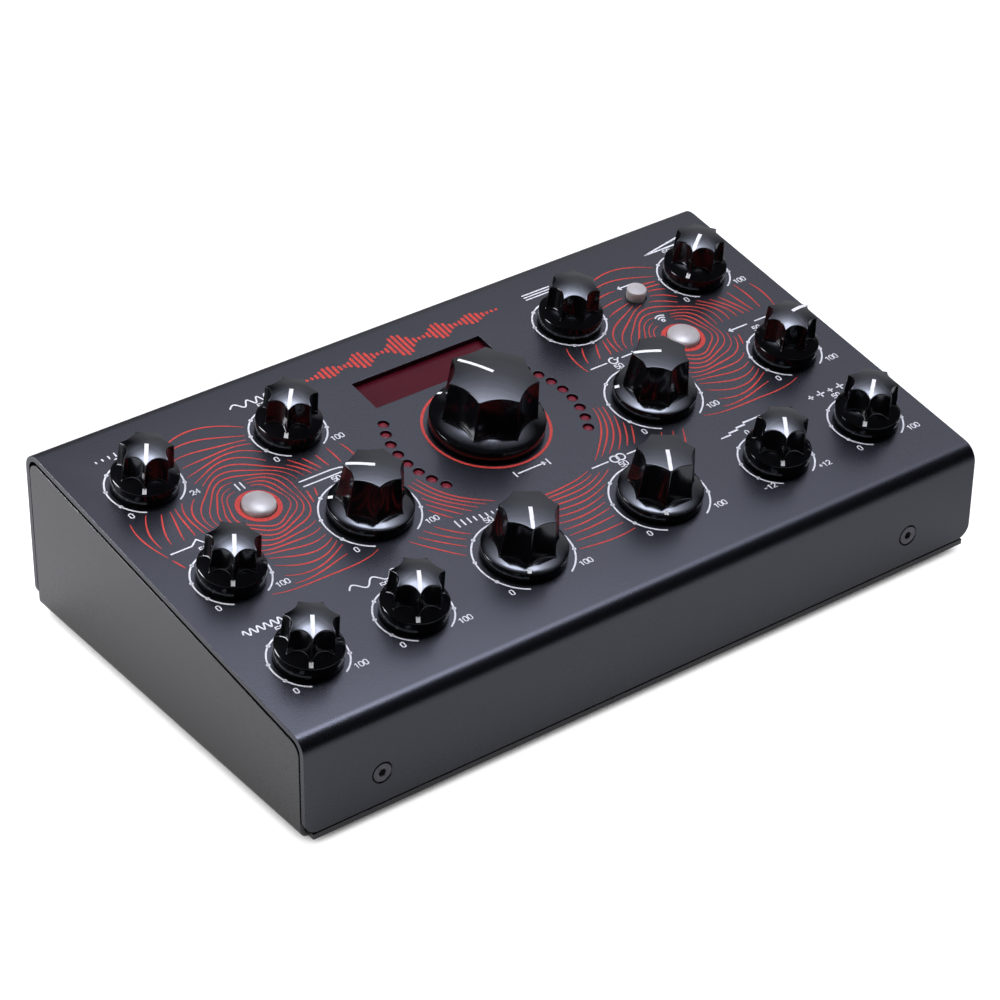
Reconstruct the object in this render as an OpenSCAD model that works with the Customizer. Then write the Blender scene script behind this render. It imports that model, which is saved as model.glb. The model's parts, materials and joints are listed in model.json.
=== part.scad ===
// Desktop audio delay unit with a sloped control panel.
// Frame: +X to the user's right, +Y to the back, +Z up, origin on the surface it stands on, under the unit's middle.
// All sizes are millimetres and all angles are degrees.

/* [Case] */
// Width of the case across its cheeks
case_w = 285; // [275:1:320]
// Depth of the case from the front flange to the back flange
case_d = 163; // [158:1:190]
// Height of the sharp front edge above the tray's underside
front_h = 38.7; // [37:0.1:50]
// Slope of the control panel
panel_tilt = 8.75; // [6:0.25:12]
// Thickness of the folded cover sheet
cover_t = 2; // [1.5:0.1:2.5]
// Outer bend radius of the cover
cover_bend_r = 6.5; // [4:0.5:10]
// Radius of the lower corners of the cover's flanges
cover_corner_r = 5; // [2:0.5:8]
// Thickness of the tray sheet
tray_t = 2; // [1.5:0.1:2.5]
// Outer bend radius between the tray's floor and its cheeks
tray_bend_r = 3; // [2.5:0.5:8]
// Gap between the cover's top and a cheek
cheek_gap_top = 1.3; // [0.5:0.1:2]
// Gap between the cover's front flange and a cheek
cheek_gap_front = 0.9; // [0.3:0.1:2]
// Gap between the cover's back flange and a cheek
cheek_gap_back = 0.4; // [0.2:0.1:2]
// Gap between the cover's flanges and the tray's floor
flange_gap = 0.6; // [0.3:0.1:1.5]
// Length of the lip under the cover's back bend, which the back wall is welded to
back_lip = 4; // [2:0.5:8]

/* [Feet] */
// Height of a foot
foot_h = 3; // [2:0.5:8]
// Diameter of a foot where it meets the tray
foot_d = 13; // [10:0.5:18]
// Diameter of a foot on the ground
foot_ground_d = 11; // [8:0.5:14]
// Distance of a foot's centre from the case's sides
foot_inset = 20; // [14:1:40]

/* [Case screws] */
// Distance of a case screw from the case's end
screw_inset = 29.9; // [22:0.1:45]
// Height of a case screw above the tray's underside
screw_h = 14.3; // [11:0.1:20]
// Diameter of a case screw's countersunk head
screw_head_d = 8; // [7:0.1:9]
// Diameter of a case screw's thread
screw_d = 4; // [3:0.5:4.5]
// Length of a case screw
screw_len = 9; // [8:0.5:12]
// Width across the flats of a case screw's socket
screw_hex = 2.5; // [2:0.1:3]
// Width of a tray tab that a case screw goes into
tab_w = 22; // [16:1:30]
// Height of a tray tab above the tray's underside
tab_h = 25; // [22:0.5:30]
// Diameter of the nut pressed into a tray tab
press_nut_d = 8; // [7:0.5:10]
// Length of the nut pressed into a tray tab
press_nut_len = 4; // [3:0.5:6]

/* [Panel layout] */
// Distance of the outer knob columns from the case's ends
outer_end = 23.9; // [20:0.1:30]
// Distance of the sweep, data, cutoff and feedback knobs from the panel's middle
inner_u = 60.9; // [58:0.1:64]
// Distance of the modulation depth and pitch knobs from the panel's middle
lower_u = 77.3; // [74:0.1:84]
// Distance of the reverb and mix knobs from the panel's middle
mix_u = 29; // [26:0.1:34]
// Upper row of small knobs, up the slope from the panel's middle
upper_v = 45.6; // [43:0.1:52]
// Resonance and spread knobs
side_v = -6.3; // [-10:0.1:0]
// Lower row of small knobs
lower_v = -50.5; // [-54:0.1:-46]
// Cutoff and feedback knobs
tone_v = -2.9; // [-6:0.1:2]
// Reverb and mix knobs
mix_v = -45.8; // [-50:0.1:-42]
// Time knob
time_v = 13.8; // [10:0.1:17]
// Distance of the round buttons from the panel's middle
button_u = 91.4; // [89:0.1:94]
// Freeze and tap buttons
button_v = 18; // [15:0.1:22]
// Back button
back_v = 45.4; // [42:0.1:50]
// Display window
window_v = 47.9; // [46:0.1:52]

/* [Pointers] */
// Angle of the gain pointer, counter-clockwise from the right
gain_angle = 236; // [-60:1:240]
// Angle of the sweep pointer
sweep_angle = 230; // [-60:1:240]
// Angle of the resonance pointer
resonance_angle = 238; // [-60:1:240]
// Angle of the modulation speed pointer
speed_angle = 238; // [-60:1:240]
// Angle of the modulation depth pointer
depth_angle = 239; // [-60:1:240]
// Angle of the cutoff pointer
cutoff_angle = 141; // [-60:1:240]
// Angle of the reverb pointer
reverb_angle = 239; // [-60:1:240]
// Angle of the time pointer
time_angle = 114; // [-60:1:240]
// Angle of the mix pointer
mix_angle = 239; // [-60:1:240]
// Angle of the feedback pointer
feedback_angle = 150; // [-60:1:240]
// Angle of a lobe of the data knob, which has no pointer
data_angle = 208; // [-60:1:240]
// Angle of the volume pointer
volume_angle = 215; // [-60:1:240]
// Angle of the spread pointer
spread_angle = 11; // [-60:1:240]
// Angle of the pitch pointer
pitch_angle = 237; // [-60:1:240]
// Angle of the shimmer pointer
shimmer_angle = 222; // [-60:1:240]

/* [Knobs] */
// Number of lobes round each knob
lobes = 7; // [5:1:9]
// Gap between a knob's skirt and the panel
knob_gap = 0.8; // [0.8:0.1:1.5]
// Width of the land left at each lobe's tip
lobe_land = 0.3; // [0.2:0.05:0.6]
// Thickness of the shortest knob over its shaft's end
knob_roof = 3; // [2:0.5:5]

/* [Small knobs] */
// Diameter of the skirt
small_skirt_d = 23.2; // [20:0.1:25]
// Height of the skirt's rim above the panel
small_rim_h = 5.6; // [4.8:0.1:7]
// Rise of the skirt's domed top over its rim
small_skirt_rise = 4.1; // [2:0.1:5]
// Diameter over the lobes at the grip's top edge
small_top_d = 18.5; // [16:0.1:19]
// Diameter over the lobes where the grip meets the skirt
small_base_d = 19.4; // [17:0.1:20]
// Height of the grip's top edge above the panel
small_edge_h = 16.3; // [14:0.1:20]
// Rise of the grip's domed top over its edge
small_dome = 2; // [0.4:0.1:3]
// Depth of a flute between two lobes
small_flute = 1.5; // [1:0.02:2.4]

/* [Medium knobs] */
// Diameter of the skirt
medium_skirt_d = 29.6; // [27:0.1:33]
// Height of the skirt's rim above the panel
medium_rim_h = 4.1; // [3.6:0.1:6]
// Rise of the skirt's domed top over its rim
medium_skirt_rise = 2.6; // [2:0.1:5]
// Diameter over the lobes at the grip's top edge
medium_top_d = 20.5; // [18:0.1:22]
// Diameter over the lobes where the grip meets the skirt
medium_base_d = 23.9; // [21:0.1:25]
// Height of the grip's top edge above the panel
medium_edge_h = 19.6; // [17:0.1:24]
// Rise of the grip's domed top over its edge
medium_dome = 1; // [0.4:0.1:2]
// Depth of a flute between two lobes
medium_flute = 0.62; // [0.3:0.02:1.2]

/* [Large knob] */
// Diameter of the skirt
large_skirt_d = 40.8; // [38:0.1:43]
// Height of the skirt's rim above the panel
large_rim_h = 4.5; // [3.8:0.1:6]
// Rise of the skirt's domed top over its rim
large_skirt_rise = 5; // [3:0.1:7]
// Diameter over the lobes at the grip's top edge
large_top_d = 32; // [29:0.1:33]
// Diameter over the lobes where the grip meets the skirt
large_base_d = 34.4; // [32:0.1:36]
// Height of the grip's top edge above the panel
large_edge_h = 21.9; // [19:0.1:26]
// Rise of the grip's domed top over its edge
large_dome = 2; // [0.8:0.1:3]
// Depth of a flute between two lobes
large_flute = 1.15; // [0.5:0.05:2]

/* [Potentiometers] */
// Diameter of a shaft
shaft_d = 6; // [5:0.1:6.4]
// Depth of the flat on a shaft
shaft_flat = 1.5; // [1:0.1:2]
// Radial clearance of a shaft in its bushing, and of a knob on its shaft
shaft_fit = 0.05; // [0.02:0.01:0.1]
// Diameter of a bushing
bushing_d = 7.4; // [7:0.1:8]
// Height of a bushing above the panel
bushing_h = 3.2; // [2.8:0.1:3.6]
// Clearance round a bushing in the panel
bushing_room = 0.2; // [0.1:0.05:0.4]
// Width of a potentiometer's body
pot_w = 11; // [10:0.5:13]
// Length of a potentiometer's body
pot_len = 12; // [11:0.5:14]
// Depth of a potentiometer's body below the panel's underside
pot_h = 7; // [6:0.1:9]
// Thickness of a body's floor under its shaft
pot_floor = 1.2; // [0.8:0.1:1.6]
// Gap between a shaft's end and that floor
shaft_end_gap = 0.3; // [0.2:0.05:0.5]
// Width across the flats of a bushing nut
nut_flats = 10; // [9.5:0.1:11]
// Height of a bushing nut
nut_h = 2; // [1.5:0.1:2.2]
// Diameter of a bushing washer
washer_d = 12; // [11:0.1:13]
// Thickness of a bushing washer
washer_t = 0.5; // [0.3:0.1:0.8]
// Push travel of the data knob
data_travel = 0.5; // [0.3:0.05:0.5]
// Diameter of the push plate under the data shaft
push_plate_d = 8.6; // [7.5:0.1:9]
// Thickness of the push plate
push_plate_t = 0.8; // [0.6:0.1:1]

/* [Display] */
// Width of the display window
window_w = 55.2; // [50:0.1:60]
// Height of the display window
window_h = 15; // [12:0.1:18]
// Thickness of the red filter
filter_t = 1.5; // [1:0.1:2]
// How far the filter reaches past the window
filter_lap = 2.5; // [1.5:0.1:4]
// How far the display module reaches past the window
module_lap = 3.5; // [2:0.1:5]
// Thickness of the display module
module_t = 2; // [1.5:0.1:3]
// Width of the display module's header
header_w = 24; // [15:1:40]
// Depth of the display module's header
header_d = 5; // [3:0.5:6]

/* [Indicator lamps] */
// Lamps on each side of the time knob
lamp_count = 8; // [4:1:9]
// Radius of the lamps about the time knob
lamp_ring_r = 35.6; // [34:0.1:38]
// Angle between two lamps
lamp_step = 8.86; // [8:0.02:10]
// Diameter of a lamp's hole
lamp_hole_d = 4; // [3.5:0.1:4.5]
// Radial gap between a lamp and its hole
lamp_room = 0.12; // [0.05:0.01:0.25]
// Depth of a lamp's face below the panel
lamp_sink = 0.3; // [0.2:0.1:1.5]

/* [Buttons] */
// Diameter of the freeze and tap caps
cap_d = 12; // [10:0.1:13]
// Height of the freeze and tap caps' sides
cap_h = 1.6; // [1.2:0.1:3]
// Rise of the freeze and tap caps' domes
cap_dome = 1.1; // [0.5:0.1:2]
// Diameter of the back cap
back_cap_d = 7.2; // [6:0.1:8]
// Height of the back cap's side
back_cap_h = 3.6; // [2:0.1:5]
// Rise of the back cap's dome
back_cap_dome = 0.3; // [0.2:0.1:1]
// Gap round a cap in the panel
cap_room = 0.3; // [0.2:0.05:0.5]
// Push travel of a button
button_travel = 0.8; // [0.4:0.1:1]
// Width of a cap's flange under the panel
cap_flange = 1.2; // [0.8:0.1:2]
// Thickness of a cap's flange
cap_flange_t = 1; // [0.8:0.1:1.2]
// Diameter of a cap's stem
stem_d = 3.4; // [3:0.1:4]
// Length of a cap's stem inside its switch
stem_in = 1.2; // [0.8:0.1:1.5]
// Width of a switch
switch_w = 6.2; // [6:0.1:8]
// Height of a switch
switch_h = 3.6; // [3.2:0.1:3.6]

/* [Boards] */
// Thickness of the circuit boards
board_t = 1.6; // [1:0.1:2]
// Gap between the control board and a cheek
board_side_gap = 8; // [4:0.5:12]
// Distance of the control board's front edge from the panel's middle
board_front_v = 62; // [60:0.5:68]
// Distance of the control board's back edge from the panel's middle
board_back_v = 63; // [62:0.5:66]
// Depth of the socket board
socket_board_d = 38; // [34:0.5:44]
// Gap between the socket board and the back flange
socket_board_gap = 1; // [0.5:0.1:2]
// Gap between the socket board's end and a tray tab
socket_board_end = 3; // [2:0.5:6]
// Height of a board spacer
spacer_h = 14; // [11:0.5:16]
// Width across the flats of a board spacer
spacer_flats = 5.5; // [5:0.1:7]
// Distance of a spacer from the socket board's edges
spacer_inset = 4.5; // [4:0.1:5.5]
// Diameter of a board screw's thread
board_screw_d = 3; // [2.5:0.1:3.5]
// Diameter of a board screw's head
board_screw_head_d = 5.5; // [5:0.1:6.5]
// Height of a board screw's head
board_screw_head_h = 2; // [1.6:0.1:2.5]
// Length of a board screw
board_screw_len = 8; // [6:0.5:10]
// Width of the ribbon between the boards
ribbon_w = 25; // [20:0.5:30]
// Thickness of the ribbon
ribbon_t = 1.2; // [0.8:0.1:2]
// Distance of the ribbon from the socket board's front edge
ribbon_in = 9; // [7:0.5:12]

/* [Audio sockets] */
// Bore of an audio socket
audio_bore_d = 6.4; // [6.35:0.05:6.6]
// Depth of an audio socket's bore, from its mouth
audio_bore_len = 30; // [27:0.5:31]
// Diameter of an audio socket's bushing
audio_bushing_d = 9; // [8.5:0.1:10]
// How far an audio socket's bushing stands out of the back
audio_bushing_out = 3.5; // [3:0.1:5]
// Width of an audio socket's body
audio_w = 16; // [14:0.5:17]
// Height of an audio socket's axis above the socket board
audio_axis_h = 8; // [7:0.1:9]
// Length of an audio socket's body
audio_len = 27; // [26:0.5:29]
// Width across the flats of an audio socket's nut
audio_nut_flats = 12; // [11.5:0.1:14]
// Height of an audio socket's nut
audio_nut_h = 2; // [1.5:0.1:2.5]

/* [Control sockets] */
// Bore of a control socket
control_bore_d = 3.6; // [3.55:0.05:3.8]
// Depth of a control socket's bore
control_bore_len = 14; // [12:0.5:15]
// Diameter of a control socket's nose
control_nose_d = 6; // [5.5:0.1:7]
// Width of a control socket's body
control_w = 8; // [7.5:0.1:10]
// Height of a control socket's axis above the socket board
control_axis_h = 5; // [4:0.1:6]
// Length of a control socket's body
control_len = 14; // [13:0.5:16]

/* [Power] */
// Bore of the power socket
power_bore_d = 5.6; // [5.5:0.1:6.5]
// Diameter of the power socket's centre pin
power_pin_d = 2.1; // [1.9:0.1:2.5]
// Depth of the power socket's bore
power_bore_len = 10; // [9:0.5:11]
// Width of the power socket's body
power_w = 9; // [8.5:0.1:11]
// Length of the power socket's body
power_len = 14; // [13:0.5:16]
// Height of the power socket's axis above the socket board
power_axis_h = 6.5; // [6:0.1:7.5]
// Hole in the back for the plug
power_hole_d = 10; // [9:0.1:11]
// Height of the power switch's centre above the socket board
rocker_h = 14; // [13:0.5:16]
// Width of the power switch's housing
rocker_body_w = 19; // [18:0.1:20]
// Height of the power switch's housing
rocker_body_h = 13; // [12:0.1:14]
// Depth of the power switch's housing behind the back flange's face
rocker_body_d = 15; // [13:0.5:18]
// How far the switch's rim reaches past its housing
rocker_rim = 1; // [0.6:0.1:1.5]
// Thickness of the switch's rim
rocker_rim_t = 2; // [1.5:0.1:2.5]
// Thickness of the switch's housing walls
rocker_wall = 1.6; // [1.5:0.1:2]
// Gap round the rocker
rocker_room = 0.7; // [0.6:0.1:0.9]
// Gap at the rocker's pivot ends
rocker_end_gap = 0.3; // [0.2:0.05:0.4]
// Diameter of the rocker's pivot
rocker_pin_d = 2.4; // [2:0.1:2.8]
// Depth of the rocker's pivot behind the back flange's face
rocker_pin_in = 1.5; // [1:0.1:2]
// Swing of the rocker to each side of its middle
rocker_swing = 8; // [5:0.5:8]

/* [Hidden] */
$fn = 64;
eps = 0.01;
far = 400;
// How far a cutter runs past what it cuts
cut = 1;
// How far a boss reaches into the body that it stands on
lap = 1;
z0 = foot_h;
// Middle of the case's depth, a little in front of the origin because the audio sockets stand out at the back
y_mid = -audio_bushing_out / 2;
yf = y_mid - case_d / 2;
yb = y_mid + case_d / 2;
zf = z0 + front_h;
st = sin(panel_tilt);
ct = cos(panel_tilt);
panel_z = zf + case_d / 2 * st / ct;
outer_u = case_w / 2 - outer_end;
flange_z = z0 + tray_t + flange_gap;
// Height of the weld between the cover's back lip and its back wall
weld_z = zf + ((case_d - cover_bend_r) * st - cover_bend_r) / ct - back_lip;
screw_x = case_w / 2 - screw_inset;
screw_z = z0 + screw_h;
screw_room = 0.1;
screw_head_h = cover_t - screw_room;
// Depth of a case screw's socket, as a share of its head
hex_share = 0.8;
tab_fit = 0.1;
nut_fit = 0.05;
// Gaps round a bushing nut and over a bushing in a knob's cavity
nut_room = 0.8;
bushing_top_gap = 0.4;
// Gap between a shaft's flat and its bushing
flat_gap = 0.2;
// How far a knob's grip starts over the bottom of its skirt
grip_foot = 0.4;
// Gaps over, under and round the push plate
plate_gap = 0.1;
plate_end_gap = 0.2;
// Gap round and under a button's stem in its switch
stem_room = 0.3;
// Gap under a board screw's end
thread_gap = 0.5;
// Walls over the bores of the control and power sockets
control_wall = 0.6;
power_wall = 1.6;
// How far the power socket's pin stops short of its mouth
power_pin_sink = 0.5;
// Depth of the power switch's hollow behind its pivot
rocker_pocket = 6;
// Depth of the rocker behind its pivot, and of the dip in its face
rocker_foot = 2.6;
rocker_dip = 1.1;
// How far the rocker's pivot reaches into each wall, and the gap at its end
rocker_pin_lap = 1;
rocker_pin_gap = 0.1;
rocker_inner_w = rocker_body_w - 2 * rocker_wall;
rocker_inner_h = rocker_body_h - 2 * rocker_wall;
board_top = -(cover_t + pot_h);
shaft_top = min(small_edge_h, medium_edge_h, large_edge_h) - knob_roof;
shaft_foot = board_top + pot_floor + shaft_end_gap;
nut_corner_r = nut_flats / 2 / cos(30);
cavity_r = max(nut_corner_r, washer_d / 2) + nut_room;
cavity_top = bushing_h + data_travel + bushing_top_gap;
plate_top = shaft_foot - plate_gap;
plate_foot = plate_top - push_plate_t;
sb_top = z0 + tray_t + spacer_h + board_t;
sb_back = yb - cover_t - socket_board_gap;
sb_front = sb_back - socket_board_d;
sb_half = screw_x - tab_w / 2 - socket_board_end;
// Row on the back, with the same gap before, between and after its eight pieces
rear_count = 8;
rocker_w = rocker_body_w + 2 * rocker_rim;
row_half = sb_half - spacer_inset - board_screw_head_d / 2;
rear_gap = (2 * row_half - 4 * audio_w - 2 * control_w - power_w - rocker_w) / (rear_count + 1);
audio_outer_x = row_half - rear_gap - audio_w / 2;
audio_inner_x = audio_outer_x - audio_w - rear_gap;
rocker_x = audio_inner_x - audio_w / 2 - rear_gap - rocker_w / 2;
power_x = rocker_x - rocker_w / 2 - rear_gap - power_w / 2;
control_near_x = power_x - power_w / 2 - rear_gap - control_w / 2;
control_far_x = control_near_x - control_w - rear_gap;
audio_xs = [audio_outer_x, audio_inner_x, -audio_inner_x, -audio_outer_x];
control_xs = [control_far_x, control_near_x];
audio_z = sb_top + audio_axis_h;
control_z = sb_top + control_axis_h;
power_z = sb_top + power_axis_h;
rocker_z = sb_top + rocker_h;
window_room = 0.15;
// How far a bend's circle reaches past the straight faces that it joins, so that they cross
bend_lap = 0.002;

// Knob classes: skirt, rim, skirt rise, top, base, edge, dome, flute
SMALL = [small_skirt_d, small_rim_h, small_skirt_rise, small_top_d,
    small_base_d, small_edge_h, small_dome, small_flute];
MEDIUM = [medium_skirt_d, medium_rim_h, medium_skirt_rise, medium_top_d,
    medium_base_d, medium_edge_h, medium_dome, medium_flute];
LARGE = [large_skirt_d, large_rim_h, large_skirt_rise, large_top_d,
    large_base_d, large_edge_h, large_dome, large_flute];

// Dial places: across, up the slope, knob class, pointer angle
GAIN = [-outer_u, upper_v, SMALL, gain_angle];
SWEEP = [-inner_u, upper_v, SMALL, sweep_angle];
RESONANCE = [-outer_u, side_v, SMALL, resonance_angle];
SPEED = [-outer_u, lower_v, SMALL, speed_angle];
DEPTH = [-lower_u, lower_v, SMALL, depth_angle];
CUTOFF = [-inner_u, tone_v, MEDIUM, cutoff_angle];
REVERB = [-mix_u, mix_v, MEDIUM, reverb_angle];
TIME = [0, time_v, LARGE, time_angle];
MIX = [mix_u, mix_v, MEDIUM, mix_angle];
FEEDBACK = [inner_u, tone_v, MEDIUM, feedback_angle];
DATA = [inner_u, upper_v, SMALL, data_angle];
VOLUME = [outer_u, upper_v, SMALL, volume_angle];
SPREAD = [outer_u, side_v, SMALL, spread_angle];
PITCH = [lower_u, lower_v, SMALL, pitch_angle];
SHIMMER = [outer_u, lower_v, SMALL, shimmer_angle];
POTS = [GAIN, SWEEP, RESONANCE, SPEED, DEPTH, CUTOFF, REVERB, TIME, MIX, FEEDBACK,
    VOLUME, SPREAD, PITCH, SHIMMER];
DIALS = concat(POTS, [DATA]);

// Button places: across, up the slope, cap diameter, side height, dome rise
FREEZE = [-button_u, button_v, cap_d, cap_h, cap_dome];
TAP = [button_u, button_v, cap_d, cap_h, cap_dome];
BACK = [button_u, back_v, back_cap_d, back_cap_h, back_cap_dome];
BUTTONS = [FREEZE, TAP, BACK];

// Places children in the panel's own frame: X across, Y up the slope, Z out of the panel
module on_panel(u = 0, v = 0, n = 0) {
    translate([0, y_mid, panel_z])
        rotate([panel_tilt, 0, 0])
            translate([u, v, n])
                children();
}

// Places children on the back flange's outer face, with Z pointing out
module on_back(x, z) {
    translate([x, yb, z])
        rotate([-90, 0, 0])
            children();
}

// Part of a sharp corner that lies outside its fillet: the fillet's centre and ends, and its radius
module fillet_waste(corner, centre, end_1, end_2, r) {
    difference() {
        polygon([centre, end_1, corner + (corner - centre) / 2, end_2]);
        translate(centre)
            circle(r = r + bend_lap);
    }
}

// Side view of the case, set in from its outer faces, with its two top corners rounded
module case_profile(in_front, in_top, in_back, r, foot) {
    y1 = yf + in_front;
    y2 = yb - in_back;
    k1 = [y1, zf + ((y1 - yf) * st - in_top) / ct];
    k2 = [y2, zf + ((y2 - yf) * st - in_top) / ct];
    c1 = [y1 + r, zf + ((y1 + r - yf) * st - in_top - r) / ct];
    c2 = [y2 - r, zf + ((y2 - r - yf) * st - in_top - r) / ct];
    up = r * [-st, ct];
    difference() {
        polygon([[y1, foot], k1, k2, [y2, foot]]);
        fillet_waste(k1, c1, [y1, c1[1]], c1 + up, r);
        fillet_waste(k2, c2, c2 + up, [y2, c2[1]], r);
    }
}

// Sweeps a side view across the case
module across(width) {
    rotate([90, 0, 90])
        linear_extrude(height = width, center = true)
            children();
}

// Front view of the tray: floor, two bends and two upright cheeks
module tray_section(inset, r, top) {
    x1 = case_w / 2 - inset;
    low = z0 + inset;
    difference() {
        polygon([[-x1, low], [x1, low], [x1, top], [-x1, top]]);
        for (s = [-1, 1])
            fillet_waste([s * x1, low], [s * (x1 - r), low + r], [s * x1, low + r], [s * (x1 - r), low], r);
    }
}

// Positions of the case screws at the given ends: -1 for the front and 1 for the back
module at_screws(ends = [-1, 1]) {
    for (s = [-1, 1], e = ends)
        translate([s * screw_x, y_mid + e * case_d / 2, screw_z])
            rotate([e * 90, 0, 0])
                children();
}

// Countersunk screw pointing along +Z, with its head's face at zero
module countersunk(head_r, shank_r, head_h, len) {
    cylinder(h = head_h, r1 = head_r, r2 = shank_r);
    translate([0, 0, head_h - eps])
        cylinder(h = len - head_h + eps, r = shank_r);
}

// Corner left outside a fillet of radius r, for a flange that runs along Y
module corner_waste(r, thick) {
    difference() {
        translate([-cut, -cut, -cut])
            cube([r + cut, thick + 2 * cut, r + cut]);
        translate([r, -2 * cut, r])
            rotate([-90, 0, 0])
                cylinder(h = thick + 4 * cut, r = r);
    }
}

module hex_prism(flats, height) {
    cylinder(h = height, r = flats / 2 / cos(30), $fn = 6);
}

// Cutters for the lower corners and the screw holes of the front (-1) or back (1) flange
module flange_cuts(end) {
    y = end < 0 ? yf : yb - cover_t;
    translate([-case_w / 2, y, flange_z])
        corner_waste(cover_corner_r, cover_t);
    mirror([1, 0, 0])
        translate([-case_w / 2, y, flange_z])
            corner_waste(cover_corner_r, cover_t);
    at_screws([end]) {
        countersunk(screw_head_d / 2 + screw_room, screw_d / 2 + screw_room, screw_head_h, cover_t + cut);
        translate([0, 0, -cut])
            cylinder(h = cut + eps, r = screw_head_d / 2 + screw_room);
    }
}

// Folded sheet: front flange, control panel and back lip
module cover() {
    color([0.27, 0.27, 0.31])
        difference() {
            across(case_w)
                difference() {
                    case_profile(0, 0, 0, cover_bend_r, flange_z);
                    case_profile(cover_t, cover_t, cover_t, cover_bend_r - cover_t, flange_z - cut);
                    translate([yb - cover_t - cut, flange_z - cut])
                        square([cover_t + 2 * cut, weld_z - flange_z + cut]);
                }
            flange_cuts(-1);
            for (k = DIALS)
                on_panel(k[0], k[1], -cover_t - cut)
                    cylinder(h = cover_t + 2 * cut, r = bushing_d / 2 + bushing_room);
            for (b = BUTTONS)
                on_panel(b[0], b[1], -cover_t - cut)
                    cylinder(h = cover_t + 2 * cut, r = b[2] / 2 + cap_room);
            at_lamps(-cover_t - cut)
                cylinder(h = cover_t + 2 * cut, r = lamp_hole_d / 2);
            on_panel(0, window_v, 0)
                cube([window_w, window_h, 2 * (cover_t + cut)], center = true);
        }
}

// Flat back wall with the sockets' holes, welded under the cover's back lip
module cover_back() {
    color([0.27, 0.27, 0.31])
        difference() {
            translate([-case_w / 2, yb - cover_t, flange_z])
                cube([case_w, cover_t, weld_z - flange_z]);
            flange_cuts(1);
            for (x = audio_xs)
                on_back(x, audio_z)
                    translate([0, 0, -cover_t - cut])
                        cylinder(h = cover_t + 2 * cut, r = audio_bushing_d / 2 + bushing_room);
            for (x = control_xs)
                on_back(x, control_z)
                    translate([0, 0, -cover_t - cut])
                        cylinder(h = cover_t + 2 * cut, r = control_nose_d / 2 + bushing_room);
            on_back(power_x, power_z)
                translate([0, 0, -cover_t - cut])
                    cylinder(h = cover_t + 2 * cut, r = power_hole_d / 2);
            on_back(rocker_x, rocker_z)
                cube([rocker_body_w + 2 * window_room, rocker_body_h + 2 * window_room, 2 * (cover_t + cut)],
                    center = true);
        }
}

module bottom_tray() {
    front = cover_t + cheek_gap_front;
    back = cover_t + cheek_gap_back;
    top = cover_t + cheek_gap_top;
    lip_w = case_w - 2 * tray_bend_r;
    color([0.36, 0.36, 0.38])
        difference() {
            union() {
                intersection() {
                    rotate([90, 0, 0])
                        linear_extrude(height = far, center = true)
                            difference() {
                                tray_section(0, tray_bend_r, far);
                                tray_section(tray_t, tray_bend_r - tray_t, far + cut);
                            }
                    across(case_w + 2 * cut)
                        case_profile(front, top, back, cover_bend_r - cover_t, z0 - cut);
                }
                translate([-lip_w / 2, yf, z0])
                    cube([lip_w, case_d, tray_t]);
                for (s = [-1, 1]) {
                    translate([s * screw_x - tab_w / 2, yf + cover_t + tab_fit, z0])
                        cube([tab_w, tray_t, tab_h]);
                    translate([s * screw_x - tab_w / 2, yb - cover_t - tab_fit - tray_t, z0])
                        cube([tab_w, tray_t, tab_h]);
                }
            }
            at_screws()
                cylinder(h = cover_t + tab_fit + tray_t + cut, r = screw_d / 2 + screw_room);
        }
}

module feet() {
    color([0.06, 0.06, 0.06])
        for (s = [-1, 1], e = [-1, 1])
            translate([s * (case_w / 2 - foot_inset), y_mid + e * (case_d / 2 - foot_inset), 0])
                cylinder(h = foot_h, d1 = foot_ground_d, d2 = foot_d);
}

module cover_screws() {
    color([0.2, 0.2, 0.22])
        at_screws()
            difference() {
                countersunk(screw_head_d / 2, screw_d / 2, screw_head_h, screw_len);
                translate([0, 0, -cut])
                    hex_prism(screw_hex, cut + screw_head_h * hex_share);
            }
}

module press_nuts() {
    color([0.75, 0.75, 0.76])
        at_screws()
            translate([0, 0, cover_t + tab_fit + tray_t])
                difference() {
                    cylinder(h = press_nut_len, d = press_nut_d);
                    translate([0, 0, -cut])
                        cylinder(h = press_nut_len + 2 * cut, r = screw_d / 2 + nut_fit);
                }
}

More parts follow.
